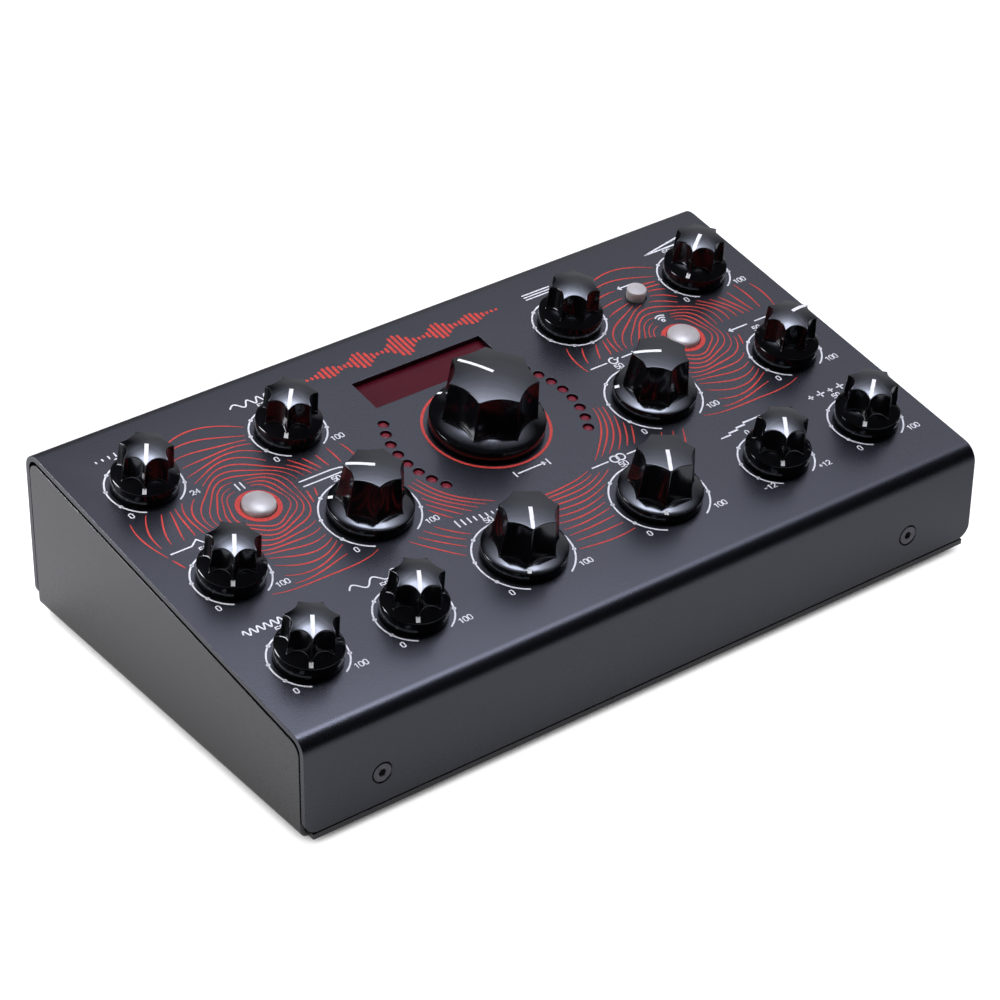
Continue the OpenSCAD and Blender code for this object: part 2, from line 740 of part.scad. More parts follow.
// Knob with its bottom rim knob_gap over the panel and its first lobe along +X
module knob(c) {
    skirt_r = c[0] / 2;
    rim = c[1];
    rise = c[2];
    top_r = c[3] / 2;
    base_r = c[4] / 2;
    edge = c[5];
    dome = c[6];
    flute = c[7];
    half = 180 / lobes;
    ball = (skirt_r * skirt_r + rise * rise) / (2 * rise);
    base = rim + rise - ball + sqrt(ball * ball - base_r * base_r);
    cap = (top_r * top_r + dome * dome) / (2 * dome);
    slope = (top_r - base_r) / (edge - base);
    foot = knob_gap + grip_foot;
    ceiling = edge + dome + cut;
    tip_top = half - lobe_land / 2 / top_r * 180 / PI;
    tip_base = half - lobe_land / 2 / base_r * 180 / PI;
    chord = top_r * sin(tip_top);
    flute_r = (chord * chord + flute * flute) / (2 * flute);
    out_top = top_r * cos(tip_top) - flute + flute_r;
    reach = flute_r * flute_r - pow(base_r * sin(tip_base), 2);
    out_base = base_r * cos(tip_base) + sqrt(max(0, reach));
    lean = atan((out_top - out_base) / (edge - base));
    difference() {
        union() {
            intersection() {
                translate([0, 0, knob_gap])
                    cylinder(h = rim + rise - knob_gap + cut, r = skirt_r);
                translate([0, 0, rim + rise - ball])
                    sphere(r = ball);
            }
            intersection() {
                difference() {
                    translate([0, 0, foot])
                        cylinder(h = ceiling - foot, r1 = base_r + slope * (foot - base),
                            r2 = base_r + slope * (ceiling - base));
                    for (i = [0 : lobes - 1])
                        rotate([0, 0, half + i * 2 * half])
                            translate([out_base, 0, base])
                                rotate([0, lean, 0])
                                    translate([0, 0, -2 * edge])
                                        cylinder(h = 4 * edge, r = flute_r);
                }
                translate([0, 0, edge + dome - cap])
                    sphere(r = cap);
            }
        }
        translate([0, 0, -cut])
            cylinder(h = cavity_top + cut, r = cavity_r);
        difference() {
            cylinder(h = shaft_top, r = shaft_d / 2 + shaft_fit);
            translate([shaft_d / 2 + shaft_fit - shaft_flat, -shaft_d, bushing_h])
                cube([shaft_d, 2 * shaft_d, far]);
        }
    }
}

module knob_node(k) {
    color([0.03, 0.03, 0.035])
        on_panel(k[0], k[1])
            rotate([0, 0, k[3]])
                knob(k[2]);
}

module shaft_node(k) {
    flat_foot = bushing_h + flat_gap;
    color([0.7, 0.7, 0.72])
        on_panel(k[0], k[1])
            rotate([0, 0, k[3]])
                difference() {
                    translate([0, 0, shaft_foot])
                        cylinder(h = shaft_top - shaft_foot, d = shaft_d);
                    translate([shaft_d / 2 - shaft_flat, -shaft_d, flat_foot])
                        cube([shaft_d, 2 * shaft_d, far]);
                }
}

module knob_gain() { knob_node(GAIN); }
module knob_sweep() { knob_node(SWEEP); }
module knob_resonance() { knob_node(RESONANCE); }
module knob_mod_speed() { knob_node(SPEED); }
module knob_mod_depth() { knob_node(DEPTH); }
module knob_cutoff() { knob_node(CUTOFF); }
module knob_reverb() { knob_node(REVERB); }
module knob_time() { knob_node(TIME); }
module knob_mix() { knob_node(MIX); }
module knob_feedback() { knob_node(FEEDBACK); }
module knob_data() { knob_node(DATA); }
module knob_volume() { knob_node(VOLUME); }
module knob_spread() { knob_node(SPREAD); }
module knob_pitch() { knob_node(PITCH); }
module knob_shimmer() { knob_node(SHIMMER); }
module shaft_gain() { shaft_node(GAIN); }
module shaft_sweep() { shaft_node(SWEEP); }
module shaft_resonance() { shaft_node(RESONANCE); }
module shaft_mod_speed() { shaft_node(SPEED); }
module shaft_mod_depth() { shaft_node(DEPTH); }
module shaft_cutoff() { shaft_node(CUTOFF); }
module shaft_reverb() { shaft_node(REVERB); }
module shaft_time() { shaft_node(TIME); }
module shaft_mix() { shaft_node(MIX); }
module shaft_feedback() { shaft_node(FEEDBACK); }
module shaft_data() { shaft_node(DATA); }
module shaft_volume() { shaft_node(VOLUME); }
module shaft_spread() { shaft_node(SPREAD); }
module shaft_pitch() { shaft_node(PITCH); }
module shaft_shimmer() { shaft_node(SHIMMER); }

// Body of a rotary control under the panel, with its bushing through the panel
module rotary_body() {
    difference() {
        union() {
            translate([-pot_w / 2, -pot_len / 2, board_top])
                cube([pot_w, pot_len, pot_h]);
            translate([0, 0, -cover_t - lap])
                cylinder(h = cover_t + lap + bushing_h, d = bushing_d);
        }
        translate([0, 0, board_top + pot_floor])
            cylinder(h = far, r = shaft_d / 2 + shaft_fit);
    }
}

module pot_bodies() {
    color([0.2, 0.32, 0.24])
        for (k = POTS)
            on_panel(k[0], k[1])
                rotary_body();
}

module encoder_body() {
    recess_foot = plate_foot - data_travel - plate_end_gap;
    color([0.25, 0.25, 0.27])
        on_panel(DATA[0], DATA[1])
            difference() {
                rotary_body();
                translate([0, 0, recess_foot])
                    cylinder(h = shaft_foot - recess_foot, r = push_plate_d / 2 + plate_gap);
            }
}

module encoder_push_plate() {
    color([0.8, 0.8, 0.78])
        on_panel(DATA[0], DATA[1], plate_foot)
            cylinder(h = push_plate_t, d = push_plate_d);
}

module bushing_nuts() {
    color([0.72, 0.72, 0.74])
        for (k = DIALS)
            on_panel(k[0], k[1], washer_t)
                difference() {
                    hex_prism(nut_flats, nut_h);
                    translate([0, 0, -cut])
                        cylinder(h = nut_h + 2 * cut, r = bushing_d / 2 + nut_fit);
                }
}

module bushing_washers() {
    color([0.66, 0.66, 0.68])
        for (k = DIALS)
            on_panel(k[0], k[1])
                difference() {
                    cylinder(h = washer_t, d = washer_d);
                    translate([0, 0, -cut])
                        cylinder(h = washer_t + 2 * cut, r = bushing_d / 2 + nut_fit);
                }
}

module display_filter() {
    color([0.35, 0.1, 0.14])
        on_panel(0, window_v, -cover_t - filter_t / 2)
            cube([window_w + 2 * filter_lap, window_h + 2 * filter_lap, filter_t], center = true);
}

module display_module() {
    top = -cover_t - filter_t;
    color([0.05, 0.06, 0.08])
        on_panel(0, window_v) {
            translate([0, 0, top - module_t / 2])
                cube([window_w + 2 * module_lap, window_h + 2 * module_lap, module_t], center = true);
            translate([-header_w / 2, -header_d / 2, board_top])
                cube([header_w, header_d, top - module_t - board_top + eps]);
        }
}

// Places children at each lamp, at a height above the panel
module at_lamps(n) {
    for (s = [0, 1], i = [0 : lamp_count - 1])
        on_panel(lamp_ring_r * cos(s * 180 + (i - (lamp_count - 1) / 2) * lamp_step),
            time_v + lamp_ring_r * sin(s * 180 + (i - (lamp_count - 1) / 2) * lamp_step), n)
            children();
}

module indicator_lamps() {
    color([0.45, 0.1, 0.13])
        at_lamps(board_top)
            cylinder(h = -board_top - lamp_sink, r = lamp_hole_d / 2 - lamp_room);
}

// Push cap with its flange under the panel and a stem into its switch
module button_cap(b) {
    r = b[2] / 2;
    side = b[3];
    rise = b[4];
    ball = (r * r + rise * rise) / (2 * rise);
    flange_top = -cover_t - cap_room;
    stem_foot = board_top + switch_h - stem_in;
    color([0.72, 0.71, 0.73])
        on_panel(b[0], b[1]) {
            intersection() {
                translate([0, 0, flange_top - cap_flange_t])
                    cylinder(h = side + rise + cut - flange_top + cap_flange_t, r = r);
                translate([0, 0, side + rise - ball])
                    sphere(r = ball);
            }
            translate([0, 0, flange_top - cap_flange_t])
                cylinder(h = cap_flange_t, r = r + cap_room + cap_flange);
            translate([0, 0, stem_foot])
                cylinder(h = flange_top - cap_flange_t / 2 - stem_foot, d = stem_d);
        }
}

module button_freeze() { button_cap(FREEZE); }
module button_tap() { button_cap(TAP); }
module button_back() { button_cap(BACK); }

module button_switches() {
    color([0.12, 0.12, 0.13])
        for (b = BUTTONS)
            on_panel(b[0], b[1], board_top)
                difference() {
                    translate([-switch_w / 2, -switch_w / 2, 0])
                        cube([switch_w, switch_w, switch_h]);
                    translate([0, 0, switch_h - stem_in - button_travel - stem_room])
                        cylinder(h = switch_h, r = stem_d / 2 + stem_room);
                }
}

module control_board() {
    half = case_w / 2 - tray_t - board_side_gap;
    color([0.08, 0.3, 0.16])
        on_panel(0, 0, board_top - board_t)
            translate([-half, -board_front_v, 0])
                cube([2 * half, board_front_v + board_back_v, board_t]);
}

// Places children at the four socket board corners, on the tray's floor
module at_spacers() {
    for (s = [-1, 1], y = [sb_front + spacer_inset, sb_back - spacer_inset])
        translate([s * (sb_half - spacer_inset), y, z0 + tray_t])
            children();
}

module socket_board() {
    color([0.08, 0.3, 0.16])
        difference() {
            translate([-sb_half, sb_front, sb_top - board_t])
                cube([2 * sb_half, socket_board_d, board_t]);
            at_spacers()
                cylinder(h = spacer_h + board_t + cut, r = board_screw_d / 2 + screw_room);
        }
}

module board_spacers() {
    color([0.78, 0.68, 0.4])
        at_spacers()
            difference() {
                hex_prism(spacer_flats, spacer_h);
                translate([0, 0, spacer_h + board_t - board_screw_len - thread_gap])
                    cylinder(h = board_screw_len, r = board_screw_d / 2 + nut_fit);
            }
}

module board_screws() {
    color([0.7, 0.7, 0.72])
        at_spacers()
            translate([0, 0, spacer_h + board_t]) {
                cylinder(h = board_screw_head_h, d = board_screw_head_d);
                translate([0, 0, -board_screw_len])
                    cylinder(h = board_screw_len + eps, d = board_screw_d);
            }
}

module link_ribbon() {
    color([0.62, 0.62, 0.64])
        difference() {
            translate([-ribbon_w / 2, sb_front + ribbon_in - ribbon_t / 2, sb_top])
                cube([ribbon_w, ribbon_t, far / 4]);
            on_panel(0, 0, board_top - board_t)
                translate([-far / 2, -far / 2, 0])
                    cube([far, far, far]);
        }
}

// Box that stands on the socket board behind the back flange, in the flange's frame
module socket_box(width, above, axis_h, len) {
    translate([-width / 2, -above, -cover_t - len])
        cube([width, above + axis_h, len]);
}

module audio_sockets() {
    color([0.1, 0.1, 0.11])
        for (x = audio_xs)
            on_back(x, audio_z)
                difference() {
                    union() {
                        socket_box(audio_w, audio_w / 2, audio_axis_h, audio_len);
                        translate([0, 0, -cover_t - lap])
                            cylinder(h = cover_t + lap + audio_bushing_out, d = audio_bushing_d);
                    }
                    translate([0, 0, audio_bushing_out - audio_bore_len])
                        cylinder(h = audio_bore_len + cut, d = audio_bore_d);
                }
}

module audio_socket_nuts() {
    color([0.72, 0.72, 0.74])
        for (x = audio_xs)
            on_back(x, audio_z)
                difference() {
                    hex_prism(audio_nut_flats, audio_nut_h);
                    translate([0, 0, -cut])
                        cylinder(h = audio_nut_h + 2 * cut, r = audio_bushing_d / 2 + nut_fit);
                }
}

module control_sockets() {
    color([0.1, 0.1, 0.11])
        for (x = control_xs)
            on_back(x, control_z)
                difference() {
                    union() {
                        socket_box(control_w, control_nose_d / 2 + control_wall, control_axis_h, control_len);
                        translate([0, 0, -cover_t - lap])
                            cylinder(h = cover_t + lap, d = control_nose_d);
                    }
                    translate([0, 0, -control_bore_len])
                        cylinder(h = control_bore_len + cut, d = control_bore_d);
                }
}

module power_socket() {
    color([0.1, 0.1, 0.11])
        on_back(power_x, power_z) {
            difference() {
                socket_box(power_w, power_bore_d / 2 + power_wall, power_axis_h, power_len);
                translate([0, 0, -cover_t - power_bore_len])
                    cylinder(h = power_bore_len + cut, d = power_bore_d);
            }
            translate([0, 0, -cover_t - power_bore_len - lap])
                cylinder(h = power_bore_len + lap - power_pin_sink, d = power_pin_d);
        }
}

module power_switch_housing() {
    pocket = rocker_pin_in + rocker_pocket;
    color([0.05, 0.05, 0.055])
        on_back(rocker_x, rocker_z)
            difference() {
                union() {
                    translate([-rocker_w / 2, -rocker_body_h / 2 - rocker_rim, 0])
                        cube([rocker_w, rocker_body_h + 2 * rocker_rim, rocker_rim_t]);
                    translate([-rocker_body_w / 2, -rocker_body_h / 2, -rocker_body_d])
                        cube([rocker_body_w, rocker_body_h, rocker_body_d + eps]);
                }
                translate([-rocker_inner_w / 2, -rocker_inner_h / 2, -pocket])
                    cube([rocker_inner_w, rocker_inner_h, pocket + rocker_rim_t + cut]);
                translate([0, 0, -rocker_pin_in])
                    rotate([90, 0, 0])
                        cylinder(h = rocker_inner_h + 2 * (rocker_pin_lap + rocker_pin_gap),
                            r = rocker_pin_d / 2 + shaft_fit, center = true);
            }
}

module power_rocker() {
    half = rocker_inner_w / 2 - rocker_room;
    tall = rocker_inner_h - 2 * rocker_end_gap;
    face = rocker_pin_in + rocker_rim_t;
    color([0.04, 0.04, 0.045])
        on_back(rocker_x, rocker_z)
            translate([0, 0, -rocker_pin_in])
                rotate([0, -rocker_swing, 0])
                    rotate([90, 0, 0]) {
                        linear_extrude(height = tall, center = true)
                            polygon([[-half, -rocker_foot], [half, -rocker_foot], [half, face],
                                [0, face - rocker_dip], [-half, face]]);
                        cylinder(h = rocker_inner_h + 2 * rocker_pin_lap, d = rocker_pin_d, center = true);
                    }
}

cover();
cover_back();
bottom_tray();
feet();
cover_screws();
press_nuts();
knob_gain();
knob_sweep();
knob_resonance();
knob_mod_speed();
knob_mod_depth();
knob_cutoff();
knob_reverb();
knob_time();
knob_mix();
knob_feedback();
knob_data();
knob_volume();
knob_spread();
knob_pitch();
knob_shimmer();
shaft_gain();
shaft_sweep();
shaft_resonance();
shaft_mod_speed();
shaft_mod_depth();
shaft_cutoff();
shaft_reverb();
shaft_time();
shaft_mix();
shaft_feedback();
shaft_data();
shaft_volume();
shaft_spread();
shaft_pitch();
shaft_shimmer();
pot_bodies();
encoder_body();
encoder_push_plate();
bushing_nuts();
bushing_washers();
display_filter();
display_module();
indicator_lamps();
button_freeze();
button_tap();
button_back();
button_switches();
control_board();
socket_board();
board_spacers();
board_screws();
link_ribbon();
audio_sockets();
audio_socket_nuts();
control_sockets();
power_socket();
power_switch_housing();
power_rocker();
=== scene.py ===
"""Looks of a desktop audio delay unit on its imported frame: paint, knobs, print, lamps and sockets."""

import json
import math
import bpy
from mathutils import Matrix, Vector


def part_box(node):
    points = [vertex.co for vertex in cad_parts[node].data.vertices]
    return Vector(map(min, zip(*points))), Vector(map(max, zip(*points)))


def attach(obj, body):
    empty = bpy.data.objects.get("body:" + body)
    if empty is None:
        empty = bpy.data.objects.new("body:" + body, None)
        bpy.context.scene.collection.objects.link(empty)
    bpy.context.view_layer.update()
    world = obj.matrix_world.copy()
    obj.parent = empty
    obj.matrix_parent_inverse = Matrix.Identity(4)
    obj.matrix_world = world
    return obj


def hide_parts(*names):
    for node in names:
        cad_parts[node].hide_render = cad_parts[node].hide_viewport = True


bl_info = {
    "name": "Delay Unit Looks",
    "version": (1, 0, 0),
    "blender": (4, 5, 0),
    "location": "View3D > Sidebar > Delay Unit",
    "description": "Dresses the packed frame of an audio delay unit with its finishes, knobs and print",
    "category": "Object",
}

from typing import NamedTuple

import bmesh
import bpy
from bpy.props import FloatProperty, FloatVectorProperty, PointerProperty
from mathutils import Matrix, Vector

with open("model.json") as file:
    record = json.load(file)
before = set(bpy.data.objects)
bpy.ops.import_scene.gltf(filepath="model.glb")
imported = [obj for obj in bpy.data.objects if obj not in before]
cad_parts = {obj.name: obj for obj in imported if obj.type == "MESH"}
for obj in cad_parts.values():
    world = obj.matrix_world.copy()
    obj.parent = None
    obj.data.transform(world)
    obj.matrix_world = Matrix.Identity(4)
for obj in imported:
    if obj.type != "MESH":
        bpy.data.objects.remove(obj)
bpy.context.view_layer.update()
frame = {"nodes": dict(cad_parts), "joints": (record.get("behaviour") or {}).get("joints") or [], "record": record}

MM = 0.001

# Places that the frame gives
JOINTS = {joint["name"]: joint for joint in frame["joints"]}
DIALS = [name[len("turn_"):] for name in JOINTS if name.startswith("turn_")]
MEDIUM_DIALS = ("cutoff", "reverb", "mix", "feedback")
LARGE_DIALS = ("time",)
CASE = "case"


def panel_frame():
    """The panel's own frame: X across, Y up the slope, Z out of it, with Y at zero over the origin."""
    turn = JOINTS["turn_time"]
    normal = Vector(turn["axis"]).normalized()
    across = Vector((1, 0, 0))
    uphill = normal.cross(across)
    origin = Vector((0, 0, Vector(turn["pos_m"]).dot(normal) / normal.z))
    axes = Matrix((across, uphill, normal)).transposed()
    return Matrix.Translation(origin) @ axes.to_4x4()


PANEL = panel_frame()
PANEL_NORMAL = PANEL.to_3x3().col[2]


def on_panel(point):
    """Place on the panel, in its own frame, of a point in the part's frame."""
    return (PANEL.inverted() @ Vector(point)).to_2d()


def node_place(node):
    """Place on the panel of a node's middle."""
    low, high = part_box(node)
    return on_panel((low + high) / 2)


def standing_at(place):
    """Frame of a piece that stands on the panel at a place."""
    return PANEL @ Matrix.Translation((place.x, place.y, 0))


DIAL_PLACES = {dial: on_panel(JOINTS["turn_" + dial]["pos_m"]) for dial in DIALS}
TIME_PLACE = DIAL_PLACES["time"]
ROUND_BUTTONS = ("freeze", "tap")
BUTTON_PLACES = {name: node_place("button_" + name) for name in (*ROUND_BUTTONS, "back")}
WINDOW_PLACE = node_place("display_filter")

# A dial's scale runs clockwise from its low end to its high end
SCALE_LOW = 240
SCALE_HIGH = -60
SCALE_STEPS = 8
DATA_LOBE_ANGLE = 208


def pointer_angle(dial):
    """Where a dial's pointer rests, in degrees counter-clockwise from the right."""
    limits = JOINTS["turn_" + dial].get("range_deg")
    if limits is None:
        return DATA_LOBE_ANGLE
    return SCALE_LOW - limits[1]


# Knobs
class KnobSize(NamedTuple):
    """Sizes of one class of knob, measured from the panel and from the knob's axis."""
    skirt_r: float
    rim: float
    rise: float
    top_r: float
    base_r: float
    edge: float
    dome: float
    flute: float
    pointer_r: float


SMALL_KNOB = KnobSize(
    skirt_r=11.6 * MM, rim=5.6 * MM, rise=4.1 * MM, top_r=9.25 * MM, base_r=9.7 * MM,
    edge=16.3 * MM, dome=2.0 * MM, flute=1.5 * MM, pointer_r=8.8 * MM)
MEDIUM_KNOB = KnobSize(
    skirt_r=14.8 * MM, rim=4.1 * MM, rise=2.6 * MM, top_r=10.25 * MM, base_r=11.95 * MM,
    edge=19.6 * MM, dome=1.0 * MM, flute=0.62 * MM, pointer_r=9.8 * MM)
LARGE_KNOB = KnobSize(
    skirt_r=20.4 * MM, rim=4.5 * MM, rise=5.0 * MM, top_r=16.0 * MM, base_r=17.2 * MM,
    edge=21.9 * MM, dome=2.0 * MM, flute=1.15 * MM, pointer_r=13.8 * MM)
LOBES = 7
LOBE_LAND = 0.3 * MM
KNOB_GAP = 0.8 * MM
SHAFT_BORE_R = 3.05 * MM
SHAFT_TOP = 13.3 * MM
BORE_END_R = 0.05 * MM
CAVITY_R = 6.8 * MM
CAVITY_TOP = 4.1 * MM
SKIRT_EDGE_W = 1.6 * MM
FLUTE_SOFT = 0.2 * MM
FOOT_SOFT = 0.25 * MM

# How finely a knob's surface is divided
FLUTE_STEPS = 16
FOOT_TRIES = 4
SKIRT_SHARES = (0.35, 0.7, 0.92, 1)
GRIP_SHARES = (0, 0.08, 0.36, 0.66, 0.95, 1)
EDGE_ANGLES = (22.5, 45, 67.5, 90)
DOME_SHARES = (0.95, 0.75, 0.5, 0.25, 0.02)

# Marks on a knob
MARK_LIFT = 0.03 * MM
POINTER_STEPS = 14
POINTER_MARGIN = 0.28 * MM
POINTER_LEAST = 0.1 * MM
POINTER_TRIM = 0.04 * MM
DOT_STEPS = 4
DOT_INSET = 0.35 * MM


# Push caps
class CapSize(NamedTuple):
    """Sizes of one push cap: radius, height of its side, rise of its top and rounding of its shoulder."""
    radius: float
    side: float
    dome: float
    shoulder: float


ROUND_CAP = CapSize(radius=6.0 * MM, side=1.75 * MM, dome=1.2 * MM, shoulder=0.95 * MM)
SMALL_CAP = CapSize(radius=3.6 * MM, side=3.6 * MM, dome=0.3 * MM, shoulder=0.3 * MM)
CAPS = {"freeze": ROUND_CAP, "tap": ROUND_CAP, "back": SMALL_CAP}
CAP_STEM_R = 1.7 * MM
CAP_STEM_FOOT = -6.6 * MM
CAP_FLANGE_W = 1.5 * MM
CAP_FLANGE_FOOT = -3.3 * MM
CAP_FLANGE_TOP = -2.3 * MM
CAP_TOP_SHARES = (0.62, 0.5, 0.4, 0.3, 0.2, 0.1, 0.01)
CAP_SHOULDER_STEPS = 6
CAP_SIDES = 64

# Window and lamps
WINDOW_W = 55.2 * MM
WINDOW_H = 15.0 * MM
LAMP_COUNT = 8
LAMP_RING_R = 35.6 * MM
LAMP_STEP = 8.86
LAMP_R = 1.88 * MM
LAMP_SINK = 0.45 * MM
LAMP_EDGE = 0.5 * MM
LAMP_CROWN_SHARE = 0.62
LAMP_CROWN_DROP = 0.08 * MM
LAMP_FILLET = 0.3 * MM
LAMP_SIDES = 24
BOARD_DEPTH = 9.0 * MM

# Radius of the ring that closes a turned piece at its axis
AXIS_R = 0.01 * MM


def knob_size(dial):
    if dial in LARGE_DIALS:
        return LARGE_KNOB
    if dial in MEDIUM_DIALS:
        return MEDIUM_KNOB
    return SMALL_KNOB


class CaseLooks(bpy.types.PropertyGroup):
    """Colours of the folded case and its fasteners."""
    cover_color: FloatVectorProperty(
        name="Cover colour", description="Colour of the cover's powder coat",
        default=(0.0024, 0.0025, 0.0037), subtype="COLOR", min=0, max=1)
    tray_color: FloatVectorProperty(
        name="Tray colour", description="Colour of the tray's powder coat",
        default=(0.008, 0.0078, 0.0086), subtype="COLOR", min=0, max=1)
    cover_sheen: FloatVectorProperty(
        name="Cover sheen", description="Tint of the light that the cover's coat throws back",
        default=(0.84, 0.86, 1.0), subtype="COLOR", min=0, max=1)
    tray_sheen: FloatVectorProperty(
        name="Tray sheen", description="Tint of the light that the tray's coat throws back",
        default=(0.97, 0.96, 1.0), subtype="COLOR", min=0, max=1)
    # Colour of the paler edges: partly rubbed wear, partly a painted highlight along the sheet's rounded edges
    worn_and_highlight_color: FloatVectorProperty(
        name="Worn colour", description="Colour of the coat where its edges are rubbed",
        default=(0.12, 0.12, 0.125), subtype="COLOR", min=0, max=1)
    edge_radius: FloatProperty(
        name="Edge radius", description="Rounding that the coat gives to the sheet's cut edges",
        default=0.35 * MM, unit="LENGTH")
    screw_color: FloatVectorProperty(
        name="Screw colour", description="Colour of the blackened case screws",
        default=(0.085, 0.081, 0.092), subtype="COLOR", min=0, max=1)
    foot_color: FloatVectorProperty(
        name="Foot colour", description="Colour of the rubber feet",
        default=(0.018, 0.018, 0.018), subtype="COLOR", min=0, max=1)


class KnobLooks(bpy.types.PropertyGroup):
    """Colours of the knobs and sizes of their marks."""
    body_color: FloatVectorProperty(
        name="Knob colour", description="Colour of the gloss plastic",
        default=(0.0018, 0.0018, 0.0023), subtype="COLOR", min=0, max=1)
    mark_color: FloatVectorProperty(
        name="Mark colour", description="Colour of the pointers and skirt dots",
        default=(0.95, 0.95, 0.94), subtype="COLOR", min=0, max=1)
    pointer_w: FloatProperty(
        name="Pointer width", description="Width of a pointer line", default=1.35 * MM, unit="LENGTH")
    dot_w: FloatProperty(
        name="Dot width", description="Width of the dot on a skirt", default=1.4 * MM, unit="LENGTH")
    dot_length: FloatProperty(
        name="Dot length", description="Length of the dot on a skirt", default=1.6 * MM, unit="LENGTH")
    edge_radius: FloatProperty(
        name="Edge radius", description="Rounding of the knob's edges", default=0.3 * MM, unit="LENGTH")


class PrintLooks(bpy.types.PropertyGroup):
    """Colours and line widths of what is printed on the panel."""
    white_color: FloatVectorProperty(
        name="White ink", description="Colour of the scales", default=(0.84, 0.84, 0.86),
        subtype="COLOR", min=0, max=1)
    red_color: FloatVectorProperty(
        name="Red ink", description="Colour of the rings and waves", default=(0.62, 0.045, 0.032),
        subtype="COLOR", min=0, max=1)
    scale_w: FloatProperty(
        name="Scale line", description="Width of a dial's scale line", default=0.62 * MM, unit="LENGTH")
    tick_r: FloatProperty(
        name="Tick radius", description="Radius of the dots on a scale", default=0.75 * MM, unit="LENGTH")
    digit_h: FloatProperty(
        name="Digit height", description="Height of the numbers", default=2.15 * MM, unit="LENGTH")
    sign_w: FloatProperty(
        name="Sign line", description="Width of the lines of numbers and signs",
        default=0.40 * MM, unit="LENGTH")
    wave_w: FloatProperty(
        name="Wave line", description="Width of the red waves at their thickest",
        default=0.62 * MM, unit="LENGTH")
    ink_h: FloatProperty(
        name="Ink height", description="How far the ink stands on the paint",
        default=0.03 * MM, unit="LENGTH")


class ControlLooks(bpy.types.PropertyGroup):
    """Colours of the buttons, the lamps and the display window."""
    cap_color: FloatVectorProperty(
        name="Cap colour", description="Colour of the translucent button caps",
        default=(0.505, 0.474, 0.468), subtype="COLOR", min=0, max=1)
    window_color: FloatVectorProperty(
        name="Window colour", description="Colour of the red display filter",
        default=(0.075, 0.006, 0.013), subtype="COLOR", min=0, max=1)
    lamp_color: FloatVectorProperty(
        name="Lamp colour", description="Colour of an unlit lamp",
        default=(0.215, 0.017, 0.032), subtype="COLOR", min=0, max=1)


class StageLooks(bpy.types.PropertyGroup):
    """Where the camera stands and how strong the lights are."""
    azimuth: FloatProperty(
        name="Azimuth", description="Camera's turn round the unit from straight in front",
        default=math.radians(-37.623), subtype="ANGLE")
    elevation: FloatProperty(
        name="Elevation", description="Camera's height angle",
        default=math.radians(33.631), subtype="ANGLE")
    roll: FloatProperty(
        name="Roll", description="Camera's roll", default=math.radians(0.702), subtype="ANGLE")
    distance: FloatProperty(
        name="Distance", description="Camera's distance from its aim", default=1.23634, unit="LENGTH")
    aim: FloatVectorProperty(
        name="Aim", description="Point that the camera looks at",
        default=(-1.849 * MM, 1.322 * MM, 31.962 * MM), subtype="TRANSLATION")
    lens: FloatProperty(name="Lens", description="Focal length in millimetres", default=128.815)
    key_level: FloatProperty(
        name="Key light", description="Brightness of the softbox over the unit, as a multiple",
        default=0.78)
    side_power: FloatProperty(
        name="Side light", description="Power of the softbox at the left", default=1.6, unit="POWER")
    sky_strength: FloatProperty(
        name="Sky strength", description="Strength of the light from all round on matt surfaces",
        default=0.24)


class DelayUnitLooks(bpy.types.PropertyGroup):
    """All the settings of the delay unit's looks."""
    case: PointerProperty(type=CaseLooks)
    knobs: PointerProperty(type=KnobLooks)
    ink: PointerProperty(type=PrintLooks)
    controls: PointerProperty(type=ControlLooks)
    stage: PointerProperty(type=StageLooks)


# Shader maths
BEVEL_SAMPLES = 6
SPECKLESS_SHARE = 0.72
MIDDLE_SPAN = (0.35, 0.65)


class Value:
    """A shader socket that can be used in a Python expression."""

    def __init__(self, finish, socket):
        self.finish = finish
        self.socket = socket

    def maths(self, operation, first, second):
        return self.finish.node("ShaderNodeMath", {"operation": operation}, {0: first, 1: second})

    def __add__(self, other):
        return self.maths("ADD", self, other)

    def __sub__(self, other):
        return self.maths("SUBTRACT", self, other)

    def __rsub__(self, other):
        return self.maths("SUBTRACT", other, self)

    def __mul__(self, other):
        return self.maths("MULTIPLY", self, other)

    def __gt__(self, other):
        return self.maths("GREATER_THAN", self, other)

    def __lt__(self, other):
        return self.maths("LESS_THAN", self, other)

    __radd__ = __add__
    __rmul__ = __mul__

    def between(self, low, high):
        """This value spread so that low is 0 and high is 1, and held there."""
        return self.finish.node(
            "ShaderNodeMapRange", {"clamp": True}, {"Value": self, "From Min": low, "From Max": high})


